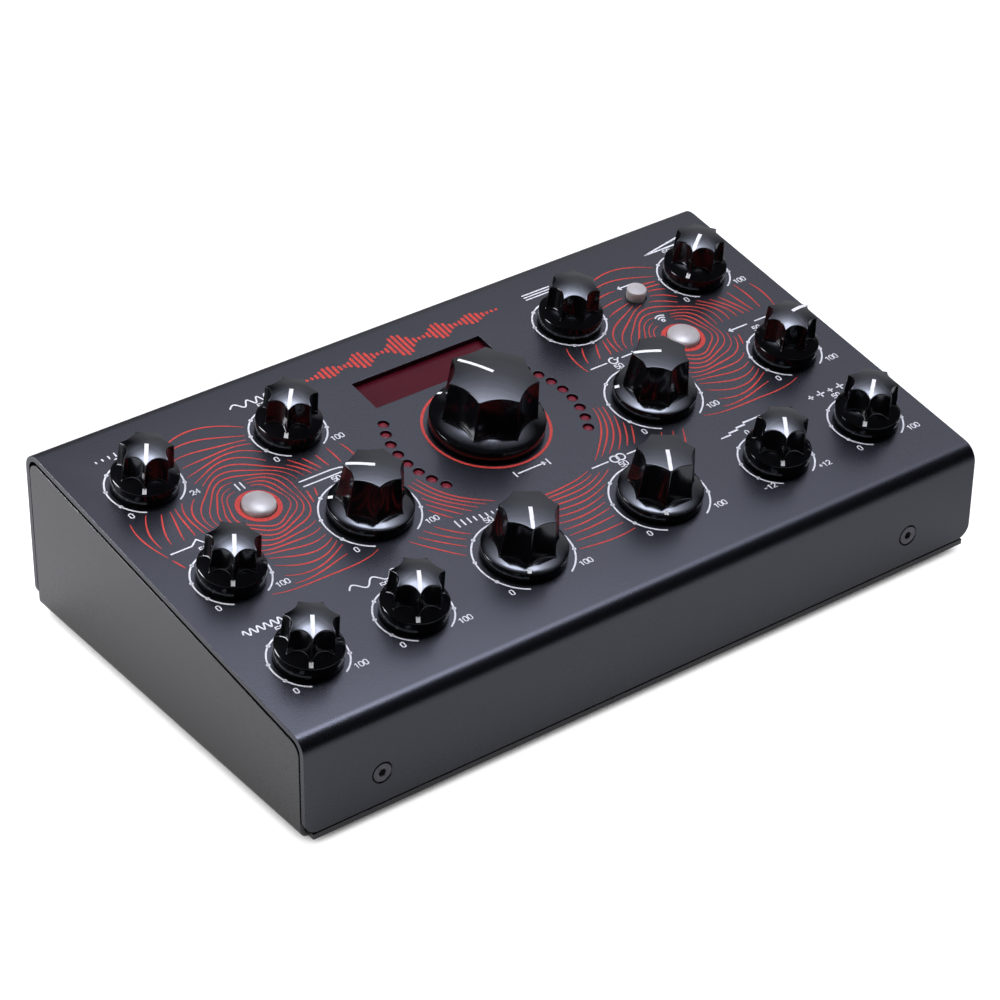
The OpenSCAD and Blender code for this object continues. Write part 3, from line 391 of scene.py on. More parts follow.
class Finish:
    """A node material, or a world, while it is being made."""

    def __init__(self, name, owner=None):
        self.owner = owner or bpy.data.materials.new(name)
        self.owner.use_nodes = True
        self.tree = self.owner.node_tree
        self.tree.nodes.clear()

    def node(self, kind, settings, sockets, output=0):
        """Adds a node with its settings, then its sockets' values or links, and gives one output."""
        made = self.tree.nodes.new(kind)
        for key, setting in settings.items():
            if key == "stops":
                self.set_stops(made.color_ramp, setting)
            else:
                setattr(made, key, setting)
        for key, value in sockets.items():
            if isinstance(value, Value):
                self.tree.links.new(value.socket, made.inputs[key])
            else:
                made.inputs[key].default_value = value
        if not len(made.outputs):
            return None
        return Value(self, made.outputs[output])

    @staticmethod
    def set_stops(ramp, stops):
        while len(ramp.elements) < len(stops):
            ramp.elements.new(1)
        for element, (place, color) in zip(ramp.elements, stops):
            element.position = place
            element.color = color

    def place(self):
        """Position on the piece, in metres."""
        return self.node("ShaderNodeTexCoord", {}, {}, output="Object")

    def noise(self, scale, detail=2.0, stretch=(1, 1, 1)):
        """Soft noise with about scale lumps to the metre, longer along the axes with a small stretch."""
        place = self.node("ShaderNodeMapping", {}, {"Vector": self.place(), "Scale": stretch})
        return self.node("ShaderNodeTexNoise", {}, {"Vector": place, "Scale": scale, "Detail": detail})

    def specks(self, scale, size):
        """Mask of scattered round specks of dust."""
        cells = {"Vector": self.place(), "Scale": scale}
        away = self.node("ShaderNodeTexVoronoi", {}, cells, output="Distance")
        kind = self.node("ShaderNodeTexVoronoi", {}, cells, output="Color")
        pick = self.node("ShaderNodeSeparateColor", {}, {"Color": kind})
        return (away < size * scale) * (pick > SPECKLESS_SHARE)

    def blend(self, first, second, factor):
        """Colour between two colours."""
        return self.node("ShaderNodeMix", {"data_type": "RGBA"}, {0: factor, 6: first, 7: second}, output=2)

    def facing(self):
        """Normal of the mesh itself."""
        return self.node("ShaderNodeNewGeometry", {}, {}, output="Normal")

    def likeness(self, first, second):
        """How far two directions agree."""
        return self.node(
            "ShaderNodeVectorMath", {"operation": "DOT_PRODUCT"}, {0: first, 1: second}, output="Value")

    def height(self, place):
        """Z of a place or of a direction."""
        return self.node("ShaderNodeSeparateXYZ", {}, {"Vector": place}, output="Z")

    def rounded(self, radius):
        """Normal with the edges rounded."""
        return self.node("ShaderNodeBevel", {"samples": BEVEL_SAMPLES}, {"Radius": radius}, output="Normal")

    def edge_wear_and_highlight(self, radius):
        """Mask of the narrow strip along the edges."""
        return (1 - self.likeness(self.rounded(radius), self.facing())).between(0.02, 0.25)

    def bump(self, height, depth, normal=None, strength=1.0):
        """Normal with small hills and dents."""
        sockets = {"Strength": strength, "Distance": depth, "Height": height}
        if normal is not None:
            sockets["Normal"] = normal
        return self.node("ShaderNodeBump", {}, sockets, output="Normal")

    def rays(self):
        """Masks of the rays that come straight from the camera, by gloss and through glass."""
        kinds = ("Is Camera Ray", "Is Glossy Ray", "Is Transmission Ray")
        return [self.node("ShaderNodeLightPath", {}, {}, output=kind) for kind in kinds]

    def surface(self, sockets):
        """Ends the material in one shader."""
        shader = self.node("ShaderNodeBsdfPrincipled", {}, sockets)
        self.node("ShaderNodeOutputMaterial", {}, {"Surface": shader})
        return self.owner


def color(rgb):
    """A colour with its alpha, for a socket."""
    return (*rgb, 1.0)


def grey(level):
    return color((level, level, level))


def scaled(rgb, share):
    """A colour made darker or lighter."""
    return [channel * share for channel in rgb]


# Finishes
def powder_coat(name, base, sheen, looks):
    """Fine satin powder coat with dust on it, and paler edges that are partly rubbed wear and partly a painted
    highlight along the rounded edges.
    """
    coat = Finish(name)
    cloud = coat.noise(18, 3)
    grain = coat.noise(1900, 2)
    edge_wear_and_highlight = coat.edge_wear_and_highlight(looks.edge_radius)
    scuff = coat.noise(140, 4).between(0.42, 0.62)
    dust = coat.specks(85, 0.16 * MM)
    tint = coat.blend(color(scaled(base, 0.82)), color(base), cloud.between(*MIDDLE_SPAN))
    # Paler edges, broken up by the scuff noise: partly rubbed wear, partly a painted highlight along the rounded
    # edges
    tint = coat.blend(tint, color(looks.worn_and_highlight_color), edge_wear_and_highlight * scuff * 0.75)
    tint = coat.blend(tint, color((0.35, 0.35, 0.36)), dust * 0.6)
    return coat.surface({
        "Base Color": tint,
        "Roughness": 0.21 + grain * 0.10 + cloud * 0.06,
        "Specular IOR Level": 0.79,
        "Specular Tint": color(sheen),
        "Normal": coat.bump(grain, 0.03 * MM, coat.rounded(looks.edge_radius)),
    })


def gloss_knob(base):
    """Polished black plastic with flow marks, fine scratches and dust, duller at the skirt's side."""
    plastic = Finish("knob_gloss")
    flow = plastic.noise(70, 2)
    scratch = plastic.noise(900, 3, (1, 1, 0.1))
    dust = plastic.specks(150, 0.10 * MM)
    tint = plastic.blend(color(base), color((0.0036, 0.0036, 0.0044)), flow.between(0.4, 0.8))
    tint = plastic.blend(tint, color((0.25, 0.25, 0.26)), dust * 0.4)
    level = plastic.likeness(plastic.facing(), PANEL_NORMAL)
    side = (level < 0.4) * (plastic.height(plastic.place()) < SMALL_KNOB.rim)
    return plastic.surface({
        "Base Color": tint,
        "Roughness": 0.11 + scratch.between(0.45, 0.75) * 0.04 + dust * 0.3 + side * 0.08,
        "Specular IOR Level": 0.75,
        "Specular Tint": color((0.88, 0.92, 1.0)),
        "Normal": plastic.bump(flow, 0.02 * MM, strength=0.2),
    })


def grained(name, grain, tints, rough, span=MIDDLE_SPAN, depth=0.0, rounding=0.0, strength=1.0,
            sockets=None):
    """A finish whose colour, gloss and relief follow one noise.

    grain holds the noise's scale, detail and stretch. The two tints stand at the noise's values in span,
    and rough holds the least roughness and what the noise adds to it."""
    finish = Finish(name)
    pattern = finish.noise(*grain)
    low, high = tints
    made = dict(sockets or {})
    made["Base Color"] = finish.blend(color(low), color(high), pattern.between(*span))
    least, more = rough
    made["Roughness"] = least + pattern * more
    if depth:
        normal = finish.rounded(rounding) if rounding else None
        made["Normal"] = finish.bump(pattern, depth, normal, strength)
    return finish.surface(made)


def ink(name, base):
    """Screen ink, a little uneven, with pinholes."""
    return grained(
        name, (900, 3), (scaled(base, 0.72), base), (0.46, 0.16), span=(0.28, 0.5), depth=0.01 * MM,
        sockets={"Specular IOR Level": 0.3})


def mark_paint(base):
    """White paint of the pointers and skirt dots."""
    return grained(
        "mark_paint", (1200, 2), (scaled(base, 0.85), base), (0.35, 0.1), span=(0.3, 0.55),
        depth=0.008 * MM)


def milky_cap(base):
    """Milky translucent plastic of the push caps."""
    return grained("milky_cap", (260, 2), (scaled(base, 0.88), base), (0.28, 0.08), sockets={
        "Specular IOR Level": 0.9,
        "Subsurface Weight": 1.0,
        "Subsurface Radius": (1.0, 0.95, 1.0),
        "Subsurface Scale": 5.0 * MM,
        "Coat Weight": 0.3,
        "Coat Roughness": 0.3,
    })


def red_filter(base):
    """Dark red display filter with a soft polished face."""
    return grained(
        "red_filter", (55, 3), (scaled(base, 0.86), base), (0.16, 0.10), depth=0.02 * MM, strength=0.3,
        sockets={"Specular IOR Level": 0.14, "Specular Tint": color((1.0, 0.5, 0.55))})


def lamp_lens(base):
    """Red diffused lamp, unlit."""
    return grained("lamp_lens", (700, 2), (scaled(base, 0.75), base), (0.34, 0.12), sockets={
        "Specular IOR Level": 0.15,
        "Subsurface Weight": 0.3,
        "Subsurface Radius": (1.0, 0.2, 0.2),
        "Subsurface Scale": 0.6 * MM,
    })


def black_steel(base):
    """Blackened steel of the case screws."""
    return grained(
        "black_steel", (600, 3), (base, scaled(base, 1.7)), (0.30, 0.16), depth=0.01 * MM,
        sockets={"Metallic": 0.6})


def turned_metal(name, grain, tints, rough):
    """Bare metal with turning marks."""
    return grained(name, grain, tints, rough, depth=0.01 * MM, rounding=0.2 * MM, sockets={"Metallic": 1.0})


def plated_steel():
    """Nickel plated steel of the nuts, washers and shafts."""
    tints = ((0.50, 0.50, 0.52), (0.66, 0.66, 0.67))
    return turned_metal("plated_steel", (420, 3, (1, 1, 8)), tints, (0.24, 0.16))


def spacer_brass():
    """Turned brass of the board spacers."""
    tints = ((0.52, 0.36, 0.13), (0.66, 0.50, 0.22))
    return turned_metal("spacer_brass", (380, 3, (1, 1, 9)), tints, (0.28, 0.14))


def rubber(base):
    """Matt black rubber."""
    return grained(
        "foot_rubber", (1500, 3), (base, (0.035, 0.035, 0.035)), (0.72, 0.15), span=(0.4, 0.7),
        depth=0.04 * MM, rounding=0.5 * MM)


def moulded(name, base, roughness):
    """Moulded plastic with a fine sparked grain."""
    light = [channel * 1.35 + 0.004 for channel in base]
    return grained(
        name, (1400, 2), (base, light), (roughness, 0.12), span=(0.4, 0.75), depth=0.02 * MM,
        rounding=0.25 * MM)


def circuit_board():
    """Green lacquered board with copper tracks under the lacquer."""
    board = Finish("circuit_board")
    stripe = board.node("ShaderNodeTexWave", {"wave_profile": "SIN"},
                        {"Vector": board.place(), "Scale": 160.0, "Distortion": 3.0, "Detail": 1.0})
    patch = board.noise(45, 2)
    track = stripe.between(0.78, 0.84) * patch.between(0.48, 0.55)
    return board.surface({
        "Base Color": board.blend(color((0.010, 0.075, 0.032)), color((0.030, 0.16, 0.060)), track),
        "Roughness": 0.32 + patch * 0.12,
        "Normal": board.bump(track, 0.03 * MM),
    })


def ribbon_strip():
    """Grey flat ribbon with one groove between each two wires."""
    strip = Finish("ribbon_strip")
    wires = strip.node("ShaderNodeTexWave", {"wave_profile": "SIN", "bands_direction": "X"},
                       {"Vector": strip.place(), "Scale": 250.0, "Distortion": 0.0})
    return strip.surface({
        "Base Color": strip.blend(color((0.20, 0.20, 0.21)), color((0.40, 0.40, 0.41)), wires),
        "Roughness": 0.5 + wires * 0.1,
        "Normal": strip.bump(wires, 0.2 * MM),
    })


# Pieces
JOIN_DISTANCE = 0.001 * MM
SHELL_CREASE = math.radians(30)
FILLET_SHARE = 0.45


def set_material(mesh, material):
    """Gives a mesh its only material."""
    mesh.materials.clear()
    mesh.materials.append(material)


def set_smooth(mesh, smooth):
    """Shades all the faces of a mesh smooth or flat."""
    mesh.polygons.foreach_set("use_smooth", [smooth] * len(mesh.polygons))
    mesh.update()


def place_piece(name, mesh, body, slot, matrix=None):
    """Puts a mesh in the scene as a piece that rides on a body."""
    piece = bpy.data.objects.new(name, mesh)
    bpy.context.scene.collection.objects.link(piece)
    if matrix is not None:
        piece.matrix_world = matrix
    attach(piece, body)
    return piece


def add_piece(name, corners, faces, material, body, slot, matrix=None, smooth=True):
    """Makes a piece from corners and faces."""
    mesh = bpy.data.meshes.new(name)
    mesh.from_pydata([tuple(corner) for corner in corners], [], faces)
    mesh.validate()
    set_material(mesh, material)
    set_smooth(mesh, smooth)
    return place_piece(name, mesh, body, slot, matrix)


def body_of(node):
    """Name of the body that carries a node."""
    bodies = frame["record"]["behaviour"]["bodies"]
    return next(body for body, nodes in bodies.items() if node in nodes)


def slot_of(node):
    """The record's material slot of a node."""
    subparts = frame["record"]["subparts"]
    return next(subpart["material_slot"] for subpart in subparts if subpart["node"] == node)


def dress(node, material):
    """Gives a node of the frame its finish."""
    set_material(frame["nodes"][node].data, material)


def smooth_shell(node, material):
    """Stands a copy of a node, joined up and smoothly shaded between its creases, in the node's place."""
    name = node + "_shell"
    mesh = frame["nodes"][node].data.copy()
    mesh.name = name
    joined = bmesh.new()
    joined.from_mesh(mesh)
    bmesh.ops.remove_doubles(joined, verts=joined.verts, dist=JOIN_DISTANCE)
    bmesh.ops.recalc_face_normals(joined, faces=joined.faces)
    joined.to_mesh(mesh)
    joined.free()
    if mesh.has_custom_normals:
        mesh.attributes.remove(mesh.attributes["custom_normal"])
    set_material(mesh, material)
    set_smooth(mesh, True)
    mesh.set_sharp_from_angle(angle=SHELL_CREASE)
    piece = place_piece(name, mesh, body_of(node), slot_of(node))
    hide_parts(node)


def fillet(points, radius, steps=3):
    """A profile with each inner corner rounded by an arc of about this radius."""
    rounded = [points[0]]
    for before, corner, after in zip(points, points[1:], points[2:]):
        before, corner, after = Vector(before), Vector(corner), Vector(after)
        back, ahead = before - corner, after - corner
        cut = min(radius, back.length * FILLET_SHARE, ahead.length * FILLET_SHARE)
        start, end = corner + back.normalized() * cut, corner + ahead.normalized() * cut
        for share in evenly(0, 1, steps + 1):
            near = start.lerp(corner, share)
            far = corner.lerp(end, share)
            rounded.append(tuple(near.lerp(far, share)))
    rounded.append(points[-1])
    return rounded


def evenly(start, end, count):
    """Numbers spread evenly from one to another."""
    return [start + (end - start) * index / (count - 1) for index in range(count)]


def ring_angles(sides):
    return [2 * math.pi * side / sides for side in range(sides)]


def ring_faces(rings, sides, first=0):
    """Faces between rings of corners that follow each other, with both ends closed."""
    faces = []
    last = first + (rings - 1) * sides
    for low in range(first, last, sides):
        high = low + sides
        for side in range(sides):
            beside = (side + 1) % sides
            faces.append((low + side, low + beside, high + beside, high + side))
    faces.append(tuple(reversed(range(first, first + sides))))
    faces.append(tuple(range(last, last + sides)))
    return faces


def lathe(profile, sides):
    """Corners and faces of a profile of radius and height, from below to above, swept round Z."""
    corners = []
    for radius, height in profile:
        for angle in ring_angles(sides):
            corners.append((radius * math.cos(angle), radius * math.sin(angle), height))
    return corners, ring_faces(len(profile), sides)


def bow_radius(half, rise):
    """Radius of an arc from half of its chord and its rise."""
    return (half ** 2 + rise ** 2) / (2 * rise)


def dome_height(top, ball, r):
    """Height of a dome at a distance from its axis, from the height of its top and its radius."""
    return top - ball + math.sqrt(ball ** 2 - r ** 2)


# Case screws
SCREW_HEAD_R = 4.0 * MM
SCREW_FACE_R = 3.42 * MM
SCREW_RIM_W = 0.6 * MM
SCREW_EDGE = 0.75 * MM
SCREW_FILLET = 0.16 * MM
SCREW_HEAD_H = 1.9 * MM
SCREW_R = 2.0 * MM
SCREW_LENGTH = 9.0 * MM
SCREW_END_R = 0.1 * MM
SCREW_HEX = 2.5 * MM
SCREW_HEX_DEPTH = 1.5 * MM
SCREW_HEX_FLARE = 0.15 * MM
SCREW_HEX_CLOSE = 0.05
SCREW_SIDES = 48
SCREW_CREASE = math.radians(35)


def hex_radius(angle):
    """Radius of a screw's hexagonal socket at an angle."""
    return SCREW_HEX / 2 / math.cos(angle % (math.pi / 3) - math.pi / 6)


def case_screw():
    """Rings of one countersunk screw from its end to the bottom of its socket, with its face at zero."""
    outside = [(SCREW_END_R, -SCREW_LENGTH), (SCREW_R, -SCREW_LENGTH), (SCREW_R, -SCREW_HEAD_H),
               (SCREW_FACE_R, -SCREW_EDGE), (SCREW_FACE_R, 0), (SCREW_FACE_R - SCREW_RIM_W, 0)]
    rings = [[point] * SCREW_SIDES for point in fillet(outside, SCREW_FILLET)]
    for share, height, flare in ((1, 0, SCREW_HEX_FLARE), (1, -SCREW_HEX_FLARE, 0),
                                 (1, -SCREW_HEX_DEPTH, 0), (SCREW_HEX_CLOSE, -SCREW_HEX_DEPTH, 0)):
        rings.append([(hex_radius(angle) * share + flare, height) for angle in ring_angles(SCREW_SIDES)])
    return rings


def case_screws():
    """Corners and faces of the four case screws, which point in from the front and from the back."""
    low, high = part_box("cover_screws")
    axis_z = (low.z + high.z) / 2
    rings = case_screw()
    corners = []
    faces = []
    for x in (low.x + SCREW_HEAD_R, high.x - SCREW_HEAD_R):
        for face_y, out in ((low.y, -1), (high.y, 1)):
            faces += ring_faces(len(rings), SCREW_SIDES, len(corners))
            for ring in rings:
                for angle, (radius, height) in zip(ring_angles(SCREW_SIDES), ring):
                    corners.append((x - out * radius * math.cos(angle), face_y + out * height,
                                    axis_z + radius * math.sin(angle)))
    return corners, faces


def cap_mesh(size):
    """Corners and faces of one push cap: a stem, a flange under the panel and a domed top."""
    ball = bow_radius(size.radius, size.dome)
    flange_r = size.radius + CAP_FLANGE_W
    top = [(size.radius * share, dome_height(size.side + size.dome, ball, size.radius * share))
           for share in CAP_TOP_SHARES]
    outside = [(AXIS_R, CAP_STEM_FOOT), (CAP_STEM_R, CAP_STEM_FOOT), (CAP_STEM_R, CAP_FLANGE_FOOT),
               (flange_r, CAP_FLANGE_FOOT), (flange_r, CAP_FLANGE_TOP), (size.radius, CAP_FLANGE_TOP),
               (size.radius, size.side), top[0]]
    return lathe(fillet(outside, size.shoulder, CAP_SHOULDER_STEPS) + top[1:], CAP_SIDES)


# Knob shapes
class KnobShape:
    """Surfaces of one class of knob: a domed round skirt and a fluted, domed grip."""

    def __init__(self, size):
        self.size = size
        self.half = math.pi / LOBES
        self.ball = bow_radius(size.skirt_r, size.rise)
        self.cap = bow_radius(size.top_r, size.dome)
        self.base = self.skirt_top(size.base_r)
        tip_top = self.half - LOBE_LAND / 2 / size.top_r
        tip_base = self.half - LOBE_LAND / 2 / size.base_r
        self.flute_r = bow_radius(size.top_r * math.sin(tip_top), size.flute)
        self.out_top = size.top_r * math.cos(tip_top) - size.flute + self.flute_r
        reach = self.flute_r ** 2 - (size.base_r * math.sin(tip_base)) ** 2
        self.out_base = size.base_r * math.cos(tip_base) + math.sqrt(max(0, reach))

    def skirt_top(self, r):
        return dome_height(self.size.rim + self.size.rise, self.ball, r)

    def dome_top(self, r):
        return dome_height(self.size.edge + self.size.dome, self.cap, r)

    def grip_radius(self, turn, height):
        """Radius of the grip at an angle from the middle of the nearest flute."""
        share = (height - self.base) / (self.size.edge - self.base)
        cone = self.size.base_r + (self.size.top_r - self.size.base_r) * share
        out = self.out_base + (self.out_top - self.out_base) * share
        inside = self.flute_r ** 2 - (out * math.sin(turn)) ** 2
        if inside <= 0:
            return cone
        flute = out * math.cos(turn) - math.sqrt(inside)
        overlap = max(FLUTE_SOFT - abs(cone - flute), 0) / FLUTE_SOFT
        return min(cone, flute) - overlap ** 2 * FLUTE_SOFT / 4

    def turns(self):
        """Each column's angle round the knob and from the nearest flute's middle, dense at the lobes."""
        columns = []
        for lobe in range(LOBES):
            middle = self.half + lobe * 2 * self.half
            for step in range(FLUTE_STEPS):
                local = self.half * math.sin(math.pi * (step / FLUTE_STEPS - 0.5))
                columns.append((middle + local, local))
        return columns

    def foot_height(self, turn):
        """Height at which the grip meets the skirt."""
        height = self.base
        for _ in range(FOOT_TRIES):
            height = self.skirt_top(self.grip_radius(turn, height))
        return height

    def column(self, turn, edge_radius):
        """Radius and height of one column of points, from the shaft's bore over the skirt and the grip."""
        size = self.size
        shoulder_r = size.skirt_r - SKIRT_EDGE_W
        bore = [(BORE_END_R, SHAFT_TOP), (SHAFT_BORE_R, SHAFT_TOP), (SHAFT_BORE_R, CAVITY_TOP),
                (CAVITY_R, CAVITY_TOP)]
        skirt = [(CAVITY_R, KNOB_GAP), (size.skirt_r, KNOB_GAP), (size.skirt_r, size.rim),
                 (shoulder_r, self.skirt_top(shoulder_r))]
        path = bore + fillet(skirt, edge_radius)
        foot = self.foot_height(turn)
        foot_r = self.grip_radius(turn, foot)
        for share in SKIRT_SHARES:
            r = shoulder_r + (foot_r + FOOT_SOFT - shoulder_r) * share
            path.append((r, self.skirt_top(r)))
        path.append((foot_r + FOOT_SOFT * 0.3, foot + FOOT_SOFT * 0.35))
        rim_r = self.grip_radius(turn, size.edge)
        low = foot + FOOT_SOFT
        high = self.dome_top(rim_r) - edge_radius
        for share in GRIP_SHARES:
            height = low + (high - low) * share
            path.append((self.grip_radius(turn, height), height))
        inner = rim_r - edge_radius
        for angle in EDGE_ANGLES:
            swing = math.radians(angle)
            path.append((rim_r - edge_radius * (1 - math.cos(swing)),
                         self.dome_top(inner) - edge_radius * (1 - math.sin(swing))))
        path += [(inner * share, self.dome_top(inner * share)) for share in DOME_SHARES]
        return path

    def mesh(self, edge_radius):
        """Corners and faces of the whole knob, with its first lobe along X."""
        turns = self.turns()
        columns = [self.column(local, edge_radius) for _, local in turns]
        corners = []
        for row in zip(*columns):
            for (angle, _), (r, height) in zip(turns, row):
                corners.append((r * math.cos(angle), r * math.sin(angle), height))
        return corners, ring_faces(len(columns[0]), len(columns))

    def covers(self, x, y):
        """Whether a point of the top lies on the first lobe."""
        turn = self.half - abs(math.atan2(y, x))
        return x < self.size.top_r / 2 or math.hypot(x, y) < self.grip_radius(turn, self.size.edge)

    @staticmethod
    def mark_pair(along, half, top):
        """Two corners of a mark, to either side of the lobe's middle line, just over a surface."""
        return [(along, side, top(math.hypot(along, side)) + MARK_LIFT) for side in (-half, half)]

    def pointer(self, width):
        """Corners and faces of the line from the knob's middle along its first lobe."""
        corners = []
        for along in evenly(0, self.size.pointer_r, POINTER_STEPS + 1):
            half = width / 2
            while half > POINTER_LEAST and not self.covers(along, half + POINTER_MARGIN):
                half -= POINTER_TRIM
            corners += self.mark_pair(along, half, self.dome_top)
        return corners, strip_faces(POINTER_STEPS)

    def dot(self, width, length):
        """Corners and faces of the mark on the skirt under the pointer."""
        outer = self.size.skirt_r - DOT_INSET
        corners = []
        for along in evenly(outer - length, outer, DOT_STEPS + 1):
            corners += self.mark_pair(along, width / 2, self.skirt_top)
        return corners, strip_faces(DOT_STEPS)


def strip_faces(steps):
    """Faces of a strip of corners in pairs."""
    return [(2 * step, 2 * step + 2, 2 * step + 3, 2 * step + 1) for step in range(steps)]


def shifted(faces, first):
    """Faces that count their corners from another first corner."""
    return [tuple(corner + first for corner in face) for face in faces]


# Print
LINE_END_ANGLES = (35, 65, 88)
SHARPEST_MITRE = 0.6
FADE_LEAST = 0.35
DISC_SIDES = 20
RING_SIDES = 72
DIGIT_STEP = 0.82
DIGIT_HALF = 0.3


class Print:
    """Flat shapes in the plane of the panel, kept until they are made into one piece."""

    def __init__(self):
        self.corners = []
        self.faces = []

    def strip(self, path):
        """A line through points that each have a half width."""
        first = len(self.corners)
        count = len(path)
        for index, (point, half) in enumerate(path):
            before = path[max(index - 1, 0)][0]
            after = path[min(index + 1, count - 1)][0]
            along = (after - before).normalized()
            side = Vector((-along.y, along.x)) * half
            self.corners.append(point + side)
            self.corners.append(point - side)
        for step in range(count - 1):
            corner = first + 2 * step
            self.faces.append((corner, corner + 1, corner + 3, corner + 2))

    def line(self, points, width, closed=False):
        """A line of one width with round ends."""
        points = [Vector(point) for point in points]
        if closed:
            points = points + [points[0], points[1]]
            self.strip(mitred(points, width / 2))
            return
        start = (points[0] - points[1]).normalized()
        end = (points[-1] - points[-2]).normalized()
        path = mitred(points, width / 2)
        for angle in LINE_END_ANGLES:
            swing = math.radians(angle)
            reach, half = width / 2 * math.sin(swing), width / 2 * math.cos(swing)
            path.insert(0, (points[0] + start * reach, half))
            path.append((points[-1] + end * reach, half))
        self.strip(path)

    def fading_line(self, points, width):
        """A line that is thickest in its middle."""
        count = len(points) - 1
        path = []
        for index, point in enumerate(points):
            share = math.sin(math.pi * (index + 0.5) / (count + 1))
            path.append((Vector(point), width / 2 * (FADE_LEAST + (1 - FADE_LEAST) * share)))
        self.strip(path)

    def disc(self, middle, radius):
        first = len(self.corners)
        self.corners += arc(middle, radius, 0, 360 - 360 / DISC_SIDES, DISC_SIDES)
        self.faces.append(tuple(range(first, first + DISC_SIDES)))

    def ring(self, middle, inner, outer, sides=RING_SIDES):
        """A flat ring."""
        path = arc(middle, (inner + outer) / 2, 0, 360 * (sides - 1) / sides, sides)
        self.line(path, outer - inner, closed=True)

    def number(self, text, middle, height, width):
        """A number in plain strokes, centred on a point."""
        step = height * DIGIT_STEP
        left = middle.x - step * (len(text) - 1) / 2 - height * DIGIT_HALF
        for index, sign in enumerate(text):
            corner = Vector((left + index * step, middle.y - height / 2))
            for stroke in STROKES[sign]:
                self.line([corner + Vector(point) * height for point in stroke], width)

    def piece(self, name, material, lift):
        """Makes the shapes one piece on the panel."""
        corners = [(corner.x, corner.y, lift) for corner in self.corners]
        add_piece(name, corners, self.faces, material, CASE, "cover_paint", PANEL, smooth=False)


def mitred(points, half):
    """Points with the half width that keeps a line's true width at its corners."""
    path = []
    for index, point in enumerate(points):
        if 0 < index < len(points) - 1:
            back = (point - points[index - 1]).normalized()
            ahead = (points[index + 1] - point).normalized()
            spread = max(SHARPEST_MITRE, math.sqrt(max(0, (1 + back.dot(ahead)) / 2)))
            path.append((point, half / spread))
        else:
            path.append((point, half))
    return path


def polar(middle, radius, angle):
    """Point at a distance from another, at an angle in degrees."""
    swing = math.radians(angle)
    return Vector((middle[0] + radius * math.cos(swing), middle[1] + radius * math.sin(swing)))


def arc(middle, radius, start, end, count):
    """Points along an arc, in degrees."""
    return [polar(middle, radius, angle) for angle in evenly(start, end, count)]


# Strokes of the plain numbers, for a height of 1
STROKES = {
    "0": [[(0.14, 0), (0, 0.16), (0, 0.84), (0.14, 1), (0.46, 1), (0.6, 0.84), (0.6, 0.16), (0.46, 0),
           (0.14, 0)]],
    "1": [[(0.08, 0.78), (0.34, 1), (0.34, 0)]],
    "2": [[(0, 0.82), (0.14, 1), (0.46, 1), (0.6, 0.84), (0.6, 0.6), (0, 0), (0.6, 0)]],
    "4": [[(0.46, 0), (0.46, 1), (0, 0.3), (0.62, 0.3)]],
    "5": [[(0.58, 1), (0.04, 1), (0, 0.56), (0.44, 0.56), (0.6, 0.42), (0.6, 0.14), (0.46, 0), (0.14, 0),
           (0, 0.12)]],
    "-": [[(0.1, 0.5), (0.5, 0.5)]],
    "+": [[(0.06, 0.5), (0.54, 0.5)], [(0.3, 0.26), (0.3, 0.74)]],
}

# Numbers at a dial's low end, its middle and its high end
NUMBERS = {
    "gain": ("0", "12", "24"),
    "pitch": ("-12", "0", "+12"),
}
PLAIN_NUMBERS = ("0", "50", "100")

# How far out from a scale, and at which angle, each of these numbers stands
NUMBER_SPOTS = ((2.6 * MM, 222), (2.2 * MM, 90), (3.4 * MM, -41))
SMALL_SCALE_R = 13.475 * MM
MEDIUM_SCALE_R = 17.4 * MM
SCALE_POINTS = 73
DATA_RING_SIDES = 96


def scale_radius(dial):
    return MEDIUM_SCALE_R if dial in MEDIUM_DIALS else SMALL_SCALE_R


def dial_scale(white, looks, dial):
    """A dial's arc with its dots and numbers; the data dial's is a full ring with dots alone."""
    middle = DIAL_PLACES[dial]
    radius = scale_radius(dial)
    ticks = evenly(SCALE_LOW, SCALE_HIGH, SCALE_STEPS + 1)
    for angle in ticks[1:-1]:
        white.disc(polar(middle, radius, angle), looks.tick_r)
    if dial == "data":
        white.ring(middle, radius - looks.scale_w / 2, radius + looks.scale_w / 2, DATA_RING_SIDES)
        for angle in (SCALE_LOW, (SCALE_LOW + SCALE_HIGH) / 2 + 180, SCALE_HIGH):
            white.disc(polar(middle, radius, angle), looks.tick_r)
        return
    white.line(arc(middle, radius, SCALE_LOW, SCALE_HIGH, SCALE_POINTS), looks.scale_w)
    for number, (out, angle) in zip(NUMBERS.get(dial, PLAIN_NUMBERS), NUMBER_SPOTS):
        white.number(number, polar(middle, radius + out, angle), looks.digit_h, looks.sign_w)


# Signs, each drawn about its own middle, in millimetres
ARROW_BACK = 0.9
ARROW_HALF = 0.8


def bars(heights, pitch):
    """Upright bars that stand on one line."""
    left = -pitch * (len(heights) - 1) / 2
    foot = -max(heights) / 2
    return [[(left + index * pitch, foot), (left + index * pitch, foot + height)]
            for index, height in enumerate(heights)]


def wave(length, swing, cycles, chirp=0.0, count=48):
    """A sine wave, which quickens along its length if it has a chirp."""
    points = []
    for share in evenly(0, 1, count + 1):
        phase = 2 * math.pi * cycles * (share + chirp * share * share) / (1 + chirp)
        points.append((length * (share - 0.5), swing * math.sin(phase)))
    return [points]


def loop(x, radius, start=0, end=360, count=25):
    """An arc about a point on the sign's own line."""
    return [tuple(point) for point in arc((x, 0), radius, start, end, count)]


def arrow(tail, tip):
    """A level arrow."""
    barb = tip - math.copysign(ARROW_BACK, tip - tail)
    return [[(tail, 0), (tip, 0)], [(barb, ARROW_HALF), (tip, 0), (barb, -ARROW_HALF)]]


def sparkle(x, size):
    """A four-pointed spark."""
    return [[(x - size, 0), (x + size, 0)], [(x, -size), (x, size)]]


